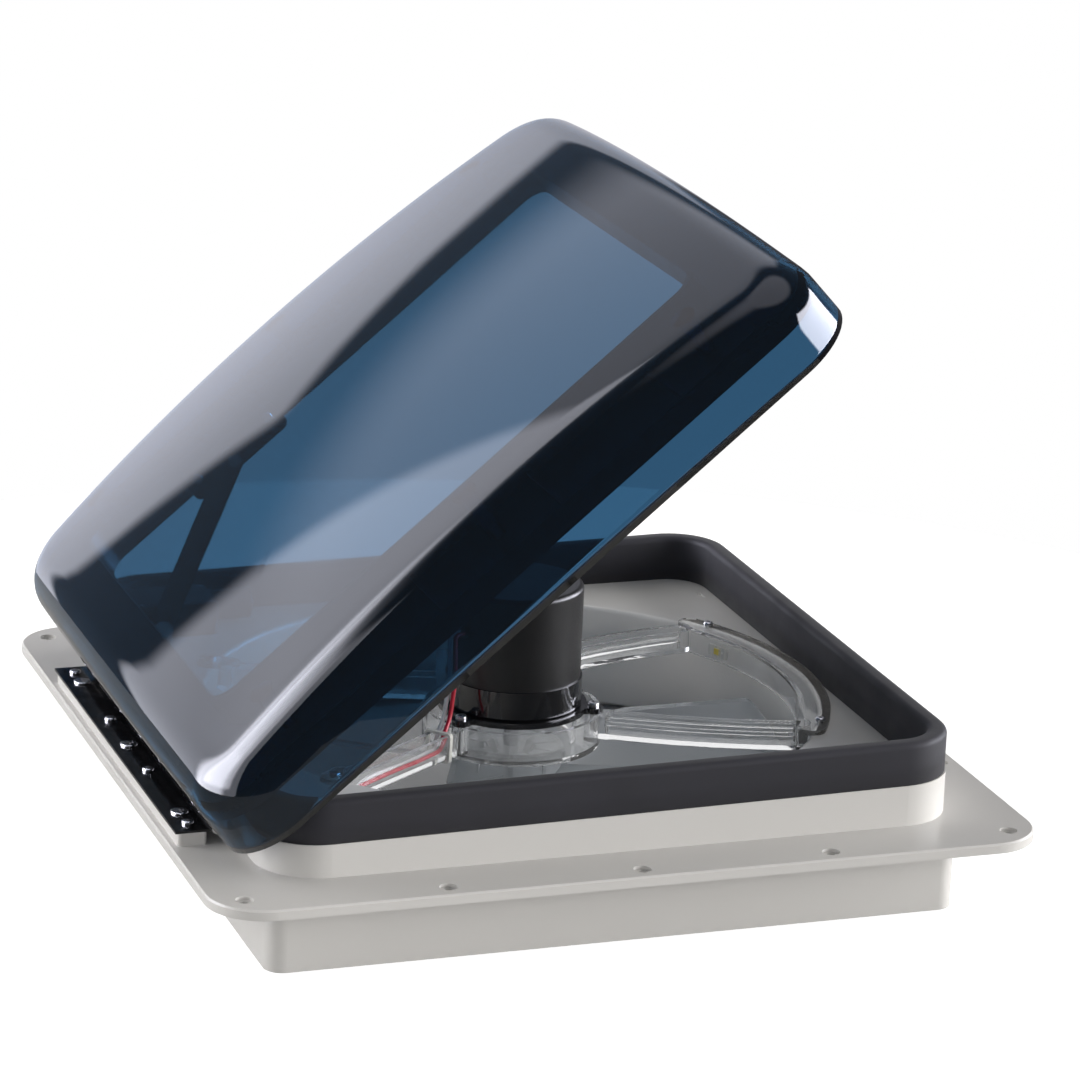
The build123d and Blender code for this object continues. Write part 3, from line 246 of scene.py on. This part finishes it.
def clear(name, colour, roughness, ior):
    """Clear moulded plastic: light passes and bends, over slightly wavy faces."""
    finish = Finish(name, base_color=colour, transmission_weight=0.95, ior=ior)
    wave = finish.noise(55.0, 2.0)
    haze = finish.noise(25.0, 3.0)
    finish.set(roughness=haze.ramp(0.35, 0.7, roughness, roughness + 0.03),
               normal=finish.bump(wave, 0.25, 0.0006), alpha=lit_through(finish, 0.97))
    return finish


# ------------------------------------------------------------------ surfaces

def rounded_square(half, radius, straight, corner):
    """Points round a square with rounded corners, as an array of (a, b).

    Each of the four sides gives straight points spread evenly along its flat, then corner points on a
    quarter circle of the radius about the corner's centre.
    """
    flat = half - radius
    along = np.linspace(-flat, flat, straight, endpoint=False)
    turn = np.linspace(0, QUARTER_TURN, corner, endpoint=False)
    side = np.concatenate([np.stack([np.full(straight, half), along], 1),
                           np.stack([flat + radius * np.cos(turn), flat + radius * np.sin(turn)], 1)])
    quarters = [side]
    for _ in range(3):
        a, b = quarters[-1].T
        quarters.append(np.stack([-b, a], 1))
    return np.concatenate(quarters)


def skin(rings, closed):
    """Quads that join rings of points in order; closed joins the last ring to the first too."""
    rings = np.asarray(rings)
    count, points = rings.shape[:2]
    steps = count if closed else count - 1
    ring = np.arange(steps)[:, None]
    point = np.arange(points)[None, :]
    here = ring * points
    there = ((ring + 1) % count) * points
    beside = (point + 1) % points
    quads = np.stack([here + point, here + beside, there + beside, there + point], -1)
    return rings.reshape(-1, 3), quads.reshape(-1, 4)


def fan(centre, ring_start, points, outward):
    """Triangles from a centre point to a ring of points."""
    first = ring_start + np.arange(points)
    second = ring_start + (np.arange(points) + 1) % points
    middle = np.full(points, centre)
    order = [middle, first, second] if outward else [middle, second, first]
    return np.stack(order, -1)


def make_piece(name, points, faces, finish):
    """A mesh object from arrays of points and faces, shaded smooth, in its one finish."""
    mesh = bpy.data.meshes.new(name)
    mesh.from_pydata(points.tolist(), [], [face.tolist() for group in faces for face in group])
    mesh.polygons.foreach_set("use_smooth", np.ones(len(mesh.polygons), dtype=bool))
    mesh.materials.append(finish.material)
    mesh.update()
    piece = bpy.data.objects.new(name, mesh)
    bpy.context.scene.collection.objects.link(piece)
    return piece


# The lid's own frame: u runs from the hinge edge to the free edge, v along the hinge, w out of the rim
OPEN_ANGLE = math.radians(40.3)
LID_ORIGIN = np.array([-190.0, 0.0, 16.8]) * MM
LID_U = np.array([math.cos(OPEN_ANGLE), 0.0, math.sin(OPEN_ANGLE)])
LID_W = np.array([-math.sin(OPEN_ANGLE), 0.0, math.cos(OPEN_ANGLE)])
LID_HALF = 190.0 * MM
LID_CORNER = 34.5 * MM
LID_WALL = 2.7 * MM
LID_LEAN = 0.9 * MM
LID_EDGE = 20.6 * MM
LID_SIDE_POINTS = 26
LID_CORNER_POINTS = 14
RIM_SHARE = 0.3
POST_R = 4 * MM
POST_TIP_SHARE = 0.4
POST_FROM_W = 26.8 * MM
POST_REACH = 0.4 * MM
POST_FLARE = 2.5 * MM
POST_POINTS = 24
POST_SPOTS = [(a * MM, b * MM) for a in (-130, 0, 130) for b in (-155, 155)]

# The gasket: its top slopes up to the free side, and its foot hangs outside the collar's rim
SEAL_WIDTH = 10 * MM
SEAL_CORNER = 30 * MM
SEAL_RISE = 5.1 / 351
SEAL_SHOULDER = 3.2 * MM
SEAL_HEIGHT = 21.5 * MM
SEAL_SIDE_FROM = 12 * MM

FLOOR_POINTS = 96
FLOOR_DROP = 0.0003
FLOOR_RINGS = (0.001, 0.4, 0.6)


def lid_place(a, b, w):
    """A point of the lid from its distances from the lid's middle, a and b, and its height w."""
    a, b, w = np.broadcast_arrays(a, b, w)
    return (LID_ORIGIN + (a + LID_HALF)[..., None] * LID_U + b[..., None] * np.array([0.0, 1.0, 0.0])
            + w[..., None] * LID_W)


def lid_crown(a, b):
    """Height of the lid's top: a flat less a parabola each way, plus a swell that fades to the edges."""
    p = (a / LID_HALF) ** 2
    q = (b / LID_HALF) ** 2
    return (63.7 - 12.8 * p - 14.3 * q + 7.0 * (1 - p) * (1 - q)) * MM


def lid_outline(inset):
    """The lid's outline at a distance in from its rim."""
    return rounded_square(LID_HALF - inset, LID_CORNER - inset, LID_SIDE_POINTS, LID_CORNER_POINTS)


def lid_rings(inset):
    """Rings up one side of the lid's wall and over its top, for the outside or an inset inside.

    The wall leans in by LID_LEAN. Above it the edge is a quarter circle of radius r: at a distance d
    in from the wall, the surface lies r - sqrt(r^2 - (r - d)^2) below the crown. Inside that, rings
    shrink towards the middle and lie on the crown.
    """
    edge = LID_EDGE - inset
    outline = lid_outline(inset)
    shoulder = lid_outline(inset + LID_LEAN)
    wall_top = lid_crown(*shoulder.T) - inset - edge
    rings = []
    for part in np.linspace(0, 1, 6):
        a, b = (outline * (1 - part) + shoulder * part).T
        rings.append(lid_place(a, b, wall_top * part))
    for turn in np.linspace(0, QUARTER_TURN, 12)[1:]:
        a, b = lid_outline(inset + LID_LEAN + edge * (1 - math.cos(turn))).T
        rings.append(lid_place(a, b, lid_crown(a, b) - inset - edge * (1 - math.sin(turn))))
    inner = np.stack([a, b], 1)
    for part in np.linspace(1, 0, 26)[1:-1]:
        a, b = (inner * part).T
        rings.append(lid_place(a, b, lid_crown(a, b) - inset))
    middle = lid_place(np.array([0.0]), np.array([0.0]), lid_crown(0.0, 0.0) - inset)
    return rings, middle


def lid_shell_mesh():
    """The lid's closed shell: the inside rings run down, a rim turns, the outside rings run up.

    At a turn t about the rim, a point lies RIM_SHARE (1 - sin t) of the wall's thickness above the
    lowest line, so the rim touches that line at its middle and at the feet of the walls.
    """
    outer, outer_middle = lid_rings(0.0)
    inner, inner_middle = lid_rings(LID_WALL)
    rim = []
    for turn in np.linspace(0, math.pi, 7)[1:-1]:
        a, b = lid_outline(LID_WALL / 2 * (1 - math.cos(math.pi - turn))).T
        rim.append(lid_place(a, b, LID_WALL * RIM_SHARE * (1 - math.sin(turn))))
    rings = inner[::-1] + rim + outer
    points, quads = skin(rings, False)
    per_ring = len(outer[0])
    total = len(points)
    points = np.concatenate([points, inner_middle, outer_middle])
    faces = [quads, fan(total, 0, per_ring, False),
             fan(total + 1, total - per_ring, per_ring, True)]
    return points, faces


def post_mesh():
    """Posts under the lid's top: each is a cylinder that flares by a quarter circle where it joins."""
    turn = np.linspace(0, FULL_TURN, POST_POINTS, endpoint=False)
    flare = np.linspace(0, QUARTER_TURN, 5)
    flared = POST_R + POST_FLARE * (1 - np.sin(QUARTER_TURN - flare))
    radii = np.concatenate([[POST_R * POST_TIP_SHARE, POST_R], flared])
    every_point, every_face = [], []
    start = 0
    for a, b in POST_SPOTS:
        top = float(lid_crown(a, b)) - LID_WALL + POST_REACH
        heights = np.concatenate([[POST_FROM_W, POST_FROM_W], top - POST_FLARE * np.cos(flare)])
        rings = [lid_place(a + r * np.cos(turn), b + r * np.sin(turn), h) for r, h in zip(radii, heights)]
        points, quads = skin(rings, False)
        total = len(points)
        ends = lid_place(np.array([a, a]), np.array([b, b]), np.array([POST_FROM_W, top]))
        every_point += [points, ends]
        every_face += [quads + start, fan(total, 0, POST_POINTS, False) + start,
                       fan(total + 1, total - POST_POINTS, POST_POINTS, True) + start]
        start += total + 2
    return np.concatenate(every_point), every_face


def seal_mesh(low, high):
    """The gasket: a tall section with a round-shouldered top, carried round a rounded square.

    The section's foot is level inside and follows the sloping collar rim outside; its top follows
    the same slope, so each height is a share of the way from foot to top at that x.
    """
    half = high[0]
    middle_top = high[2] - SEAL_RISE * half

    def ring(inset, fall):
        """Points at a distance in from the outside and a distance down from the sloping top."""
        a, b = rounded_square(half - inset, SEAL_CORNER - inset, 24, 12).T
        return np.stack([a, b, middle_top + SEAL_RISE * a - fall], 1)

    turn = np.linspace(0, QUARTER_TURN, 6)
    shoulder = [(SEAL_SHOULDER * (1 - math.cos(step)), SEAL_SHOULDER * (1 - math.sin(step)))
                for step in turn]
    rings = [ring(0, SEAL_HEIGHT), ring(0, SEAL_SIDE_FROM)]
    rings += [ring(inset, fall) for inset, fall in shoulder]
    rings.append(ring(SEAL_WIDTH / 2, 0))
    rings += [ring(SEAL_WIDTH - inset, fall) for inset, fall in shoulder[::-1]]
    rings.append(ring(SEAL_WIDTH, SEAL_SIDE_FROM))
    foot = ring(SEAL_WIDTH, 0)
    foot[:, 2] = low[2]
    rings.append(foot)
    points, quads = skin(rings, True)
    return points, [quads]


# ------------------------------------------------------------------ settings

class LidLooks(bpy.types.PropertyGroup):
    """What a user would change about the lid."""
    tint: FloatVectorProperty(name="Tint", description="Colour of white light after one wall", size=3,
                              subtype="COLOR", default=(0.026, 0.088, 0.170), min=0, max=1)
    gloss: FloatProperty(name="Roughness", description="Roughness of the polished faces",
                         default=0.015, min=0, max=1)
    ior: FloatProperty(name="IOR", description="How much the acrylic bends light", default=1.49,
                       min=1, max=2)


class BodyLooks(bpy.types.PropertyGroup):
    """What a user would change about the mouldings."""
    white: FloatVectorProperty(name="White", description="Colour of the roof flange", size=3,
                               subtype="COLOR", default=(0.63, 0.62, 0.605), min=0, max=1)
    seal: FloatVectorProperty(name="Seal", description="Colour of the rubber gasket", size=3,
                              subtype="COLOR", default=(0.015, 0.015, 0.020), min=0, max=1)


class StudioLooks(bpy.types.PropertyGroup):
    """What a user would change about the studio."""
    top_light: FloatProperty(name="Top light", description="Brightness overhead", default=0.9, min=0)
    left_light: FloatProperty(name="Left light", description="Brightness of the left softbox",
                              default=8.5, min=0)
    right_light: FloatProperty(name="Right light", description="Brightness of the right softbox",
                               default=12.5, min=0)
    back_light: FloatProperty(name="Back light", description="Brightness of the wall behind",
                              default=1.15, min=0)
    lens: FloatProperty(name="Lens", description="Focal length", default=151.3, min=1,
                        subtype="DISTANCE_CAMERA")


# ------------------------------------------------------------------ operators

class VENT_OT_studio(bpy.types.Operator):
    """Makes the pale floor, the soft studio round it and the camera"""
    bl_idname = "vent.studio"
    bl_label = "Studio"

    def execute(self, context):
        looks = context.scene.vent_studio
        self.make_floor()
        self.make_light(context, looks)
        self.make_camera(context, looks)
        context.scene.view_settings.view_transform = "Standard"
        context.scene.view_settings.look = "None"
        return {"FINISHED"}

    def make_floor(self):
        """A flat disc: rings of points at growing radii, just under the object's lowest point."""
        turn = np.linspace(0, FULL_TURN, FLOOR_POINTS, endpoint=False)
        level = np.full(FLOOR_POINTS, CAD_BOUNDS[0][2] - FLOOR_DROP)
        rings = [np.stack([r * np.cos(turn), r * np.sin(turn), level], 1) for r in FLOOR_RINGS]
        points, quads = skin(rings, False)
        paper = Finish("paper_floor", base_color=(0.45, 0.45, 0.45), roughness=0.9,
                       specular_ior_level=0.1, emission_color=(1, 1, 1))
        paper.set(emission_strength=seen_straight(paper) * 0.85)
        floor = make_piece("paper_floor", points, [quads], paper)

    def make_light(self, context, looks):
        """A white room for what is seen straight or through clear pieces, and soft lights for the rest.

        The lights are areas of the sky, given by heading, clockwise from behind the object, and by
        height: a tall box on the left, one on the right, a lit wall low behind, a faint glow above
        it and a soft one overhead. Shiny faces also mirror a brighter core of the left box. Matt
        faces get a share of each light and a soft light from the front.
        """
        world = bpy.data.worlds.new("studio")
        context.scene.world = world
        sky = Tree(world)
        x, y, z = sky.axes(sky.add("ShaderNodeTexCoord", output=0))
        heading = x.math("ARCTAN2", x, y)

        def panel(left, right, low, high, soft):
            """1 inside an area between two headings and two heights, in degrees, with soft edges."""
            edge = math.radians(soft)
            sides = (heading.ramp(math.radians(left), math.radians(left) + edge)
                     * heading.ramp(math.radians(right) - edge, math.radians(right), 1.0, 0.0))
            bottom = math.sin(math.radians(low))
            top = math.sin(math.radians(high))
            rise = math.sin(edge)
            return sides * z.ramp(bottom, bottom + rise) * z.ramp(top - rise, top, 1.0, 0.0)

        left_box = (panel(-118, -26, -20, 46, 2) * 1.8
                    + panel(-100, -38, -26, 50, 14) * looks.left_light)
        right_box = panel(68, 136, -3, 32, 4) * looks.right_light
        wall = panel(-14, 26, -25, 16.5, 2) * heading.ramp(math.radians(-8), math.radians(22),
                                                          looks.back_light, looks.back_light * 0.4)
        glow = panel(-45, 30, 19, 52, 8) * 0.75
        overhead = z.ramp(0.86, 0.93, 0.0, looks.top_light)
        core = panel(-108, -54, -8, 47, 8) * 7.5
        front = (y * -1).ramp(0.3, 0.9) * z.ramp(-0.1, 0.1) * z.ramp(0.35, 0.6, 1.0, 0.0)
        matt = (left_box * 0.42 + right_box * z.ramp(0.0, 0.5, 1.0, 0.45) + wall + glow * 0.7
                + overhead * 0.5 + front + 0.06)
        bright = (left_box + right_box + wall + glow + overhead + 0.08) * 1.3 + core
        shine = light_path(sky, "Is Glossy Ray")
        total = bright * shine + matt * (1 - shine)
        seen = seen_straight(sky)
        strength = seen + (1 - seen) * total
        tone = sky.blend(shine, (1.0, 0.985, 0.965), (0.88, 0.89, 1.0))
        colour = sky.blend(seen, tone, (1.0, 1.0, 1.0))
        background = sky.tree.nodes["Background"]
        sky.feed(background.inputs["Color"], colour)
        sky.feed(background.inputs["Strength"], strength)

    def make_camera(self, context, looks):
        """The camera looks along forward; right and up are turned about it by a small roll."""
        yaw, pitch, roll = (math.radians(turn) for turn in (20.070, 17.294, 2.4357))
        forward = Vector((math.sin(yaw) * math.cos(pitch), math.cos(yaw) * math.cos(pitch),
                          -math.sin(pitch)))
        level = Vector((math.cos(yaw), -math.sin(yaw), 0))
        upright = level.cross(forward)
        right = math.cos(roll) * level + math.sin(roll) * upright
        up = math.cos(roll) * upright - math.sin(roll) * level
        camera = bpy.data.cameras.new("camera")
        camera.lens = looks.lens
        camera.sensor_width = 36
        camera.clip_end = 100
        holder = bpy.data.objects.new("camera", camera)
        context.scene.collection.objects.link(holder)
        turn = Matrix((right, up, -forward)).transposed().to_4x4()
        holder.matrix_world = Matrix.Translation((-0.73466, -2.050, 0.78455)) @ turn
        context.scene.camera = holder


class VENT_OT_lid(bpy.types.Operator):
    """Makes the smoked lid, its posts and the finish of its black frame"""
    bl_idname = "vent.lid"
    bl_label = "Lid"

    def execute(self, context):
        looks = context.scene.vent_lid
        acrylic = Finish("smoked_acrylic", base_color=tuple(looks.tint), transmission_weight=1.0,
                         ior=looks.ior)
        haze = acrylic.noise(14.0, 3.0)
        swirl = acrylic.noise(11.0, 1.5)
        acrylic.set(roughness=haze.ramp(0.4, 0.75, looks.gloss, looks.gloss + 0.02),
                    normal=acrylic.bump(swirl, 0.10, 0.0015))
        shell = make_piece("lid_dome", *lid_shell_mesh(), acrylic)
        posts = make_piece("lid_posts", *post_mesh(), acrylic)
        for piece in (shell, posts):
            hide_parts("lid_shell")
            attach(piece, "lid")
        moulded("lid_frame_plastic", (0.010, 0.012, 0.016), 0.34, grain=0.2, mottling=0.1).on("lid_frame")
        return {"FINISHED"}


class VENT_OT_seal(bpy.types.Operator):
    """Makes the rubber gasket on the collar's rim"""
    bl_idname = "vent.seal"
    bl_label = "Seal"

    def execute(self, context):
        rubber = Finish("seal_rubber", specular_ior_level=0.35, sheen_weight=0.09, sheen_roughness=0.5)
        colour = tuple(context.scene.vent_body.seal)
        bloom = rubber.noise(24.0, 4.0, 0.65)
        cells = rubber.noise(2300.0, 2.0, 0.6)
        rubber.set(base_color=rubber.blend(bloom, colour, [part * 1.9 for part in colour]),
                   roughness=bloom.ramp(0.3, 0.7, 0.56, 0.74),
                   normal=rubber.bump(cells, 0.35, 0.00012))
        gasket = make_piece("lid_gasket", *seal_mesh(*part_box("lid_seal")), rubber)
        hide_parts("lid_seal")
        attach(gasket, "base")
        return {"FINISHED"}


class VENT_OT_mouldings(bpy.types.Operator):
    """Finishes the white and black plastic mouldings"""
    bl_idname = "vent.mouldings"
    bl_label = "Mouldings"

    def execute(self, context):
        white = tuple(context.scene.vent_body.white)
        moulded("roof_white", white, 0.36, grain=0.16, mottling=0.02).on(
            "roof_frame", "screen_frame", "control_box")
        # The deck's colour is the flange white made 1.4 times brighter. This is painted light: a lit copy
        # of the same white, standing in for the light on the deck and duct inside the vent.
        deck = [min(1.0, part * 1.4) for part in white]
        moulded("deck_white_painted_light", deck, 0.22, grain=0.05, mottling=0.02, coat=0.3).on("fan_deck")
        moulded("drive_black", (0.014, 0.014, 0.015), 0.32, grain=0.3, mottling=0.1).on(
            "lift_drive_case", "lift_drive_cover")
        moulded("cap_black", (0.008, 0.008, 0.009), 0.10, coat=0.6, mottling=0.1).on(
            "motor_end_cap", "motor_ring", "wire_grommet")
        moulded("nylon", (0.72, 0.72, 0.68), 0.42, grain=0.1).on(
            "cable_tie", "lift_gear", "lift_roller", "screen_clip_1", "screen_clip_2",
            "screen_clip_3", "screen_clip_4")
        return {"FINISHED"}


class VENT_OT_metal(bpy.types.Operator):
    """Finishes the hinge, the lift arm and the fasteners"""
    bl_idname = "vent.metal"
    bl_label = "Hinge and fasteners"

    def execute(self, context):
        paint = Finish("hinge_paint", coat_weight=0.4, coat_roughness=0.03, specular_ior_level=0.35)
        peel = paint.noise(420.0, 2.0)
        dust = paint.noise(130.0, 5.0, 0.7)
        paint.set(base_color=paint.blend(dust.ramp(0.62, 0.8), (0.006, 0.006, 0.007), (0.03, 0.03, 0.032)),
                  roughness=dust.ramp(0.4, 0.8, 0.12, 0.3), normal=paint.bump(peel, 0.12, 0.0001))
        paint.on("hinge_leaf_fixed", "hinge_leaf_moving", "lift_arm", "lift_rail")
        machined("bright_steel", (0.80, 0.80, 0.82), 0.12).on(
            "hinge_leaf_screws", "hinge_roof_screws", "hinge_pin", "fan_shaft", "hub_nut",
            "lift_shaft", "roller_pin")
        machined("zinc_screws", (0.66, 0.66, 0.67), 0.22).on(
            "bracket_screws", "deck_screws", "lid_frame_screws", "lift_drive_screws",
            "lift_rail_screws", "motor_screws", "moving_leaf_screws", "screen_clip_screws")
        return {"FINISHED"}


class VENT_OT_motor(bpy.types.Operator):
    """Finishes the motor, inside and out"""
    bl_idname = "vent.motor"
    bl_label = "Motor"

    def execute(self, context):
        can = Finish("motor_paint", specular_ior_level=0.5)
        speckle = can.noise(1100.0, 3.0, 0.6)
        cloud = can.noise(30.0, 3.0)
        can.set(base_color=can.blend(cloud, (0.009, 0.009, 0.010), (0.017, 0.017, 0.018)),
                roughness=speckle.ramp(0.3, 0.7, 0.30, 0.44), normal=can.bump(speckle, 0.25, 0.0001))
        can.on("motor_can", "lift_motor")
        copper = Finish("armature_copper", metallic=1.0)
        turns = copper.noise(700.0, 2.0, stretch=(1, 1, 0.2))
        copper.set(base_color=copper.blend(turns, (0.40, 0.14, 0.06), (0.72, 0.34, 0.18)),
                   roughness=turns.ramp(0.3, 0.7, 0.25, 0.45), normal=copper.bump(turns, 0.5, 0.0003))
        copper.on("motor_armature")
        machined("sintered_bronze", (0.50, 0.34, 0.17), 0.42, 0.4).on("motor_bearings")
        moulded("ferrite", (0.045, 0.045, 0.05), 0.6, grain=0.6, mottling=0.2).on("motor_magnets")
        return {"FINISHED"}


class VENT_OT_clear(bpy.types.Operator):
    """Finishes the clear motor bracket and the smoky fan blades"""
    bl_idname = "vent.clear"
    bl_label = "Clear pieces"

    def execute(self, context):
        clear("clear_plastic", (0.97, 0.975, 0.98), 0.012, 1.32).on("motor_bracket")
        blades = Finish("blade_plastic", base_color=(0.80, 0.83, 0.86), transmission_weight=0.7, ior=1.35)
        flow = blades.noise(45.0, 3.0)
        blades.set(roughness=flow.ramp(0.3, 0.7, 0.08, 0.16), normal=blades.bump(flow, 0.1, 0.0005),
                   alpha=lit_through(blades, 0.85))
        blades.on("fan_impeller")
        return {"FINISHED"}


class VENT_OT_wiring(bpy.types.Operator):
    """Finishes the wires and the circuit boards"""
    bl_idname = "vent.wiring"
    bl_label = "Wiring"

    def execute(self, context):
        for name, colour in (("motor_wire_red", (0.52, 0.006, 0.03)),
                             ("motor_wire_white", (0.78, 0.78, 0.80))):
            moulded(name, colour, 0.30, grain=0.1, mottling=0.08, coat=0.2).on(name)
        board = Finish("circuit_board", specular_ior_level=0.5, coat_weight=0.4, coat_roughness=0.1)
        x, y, z = board.axes(board.place())
        tracks = ((x * 520).fraction() < 0.2).most((y * 410).fraction() < 0.2)
        pads = board.noise(260.0, 1.0) > 0.62
        solder = board.blend(tracks, (0.60, 0.60, 0.58), (0.74, 0.73, 0.68))
        low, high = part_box("lamp_board")
        from_middle_y = (y - (low[1] + high[1]) / 2).size()
        from_middle_z = (z - (low[2] + high[2]) / 2).size()
        chip = (from_middle_y < 2.1 * MM) * (from_middle_z < 1.6 * MM)
        plain = board.blend(pads, solder, (0.82, 0.81, 0.78))
        board.set(base_color=board.blend(chip, plain, (0.80, 0.66, 0.12)),
                  roughness=tracks.ramp(0, 1, 0.35, 0.22))
        board.on("control_board", "lamp_board")
        return {"FINISHED"}


class VENT_OT_screen(bpy.types.Operator):
    """Finishes the insect screen as an open weave"""
    bl_idname = "vent.screen"
    bl_label = "Insect screen"

    def execute(self, context):
        weave = Finish("screen_weave", specular_ior_level=0.3)
        x, y, z = weave.axes(weave.place())
        pitch = 1 / (1.6 * MM)
        across = (x * pitch).fraction()
        along = (y * pitch).fraction()
        strand = ((across - 0.5).size() > 0.34).most((along - 0.5).size() > 0.34)
        fuzz = weave.noise(1800.0, 2.0)
        round_off = (across - 0.5).size().most((along - 0.5).size())
        weave.set(base_color=weave.blend(fuzz, (0.34, 0.34, 0.35), (0.52, 0.52, 0.53)),
                  roughness=fuzz.ramp(0.3, 0.7, 0.55, 0.7), alpha=strand,
                  normal=weave.bump(round_off, 0.5, 0.0004))
        weave.on("screen_mesh")
        return {"FINISHED"}


class VENT_PT_panel(bpy.types.Panel):
    """Lists the vent's settings and makers"""
    bl_idname = "VENT_PT_panel"
    bl_label = "Roof Vent"
    bl_space_type = "VIEW_3D"
    bl_region_type = "UI"
    bl_category = "Roof Vent"

    def draw(self, context):
        for group in (context.scene.vent_lid, context.scene.vent_body, context.scene.vent_studio):
            for name in group.__annotations__:
                self.layout.prop(group, name)
        for operator in OPERATORS:
            self.layout.operator(operator.bl_idname)


OPERATORS = (VENT_OT_studio, VENT_OT_lid, VENT_OT_seal, VENT_OT_mouldings, VENT_OT_metal,
             VENT_OT_motor, VENT_OT_clear, VENT_OT_wiring, VENT_OT_screen)
GROUPS = {"vent_lid": LidLooks, "vent_body": BodyLooks, "vent_studio": StudioLooks}
CLASSES = (*GROUPS.values(), *OPERATORS, VENT_PT_panel)


def register():
    for kind in CLASSES:
        bpy.utils.register_class(kind)
    for name, group in GROUPS.items():
        setattr(bpy.types.Scene, name, PointerProperty(type=group))


def unregister():
    for name in GROUPS:
        delattr(bpy.types.Scene, name)
    for kind in reversed(CLASSES):
        bpy.utils.unregister_class(kind)


def main():
    """Makes everything in order."""
    register()
    for operator in OPERATORS:
        family, name = operator.bl_idname.split(".")
        getattr(getattr(bpy.ops, family), name)()


if __name__ == "__main__":
    main()
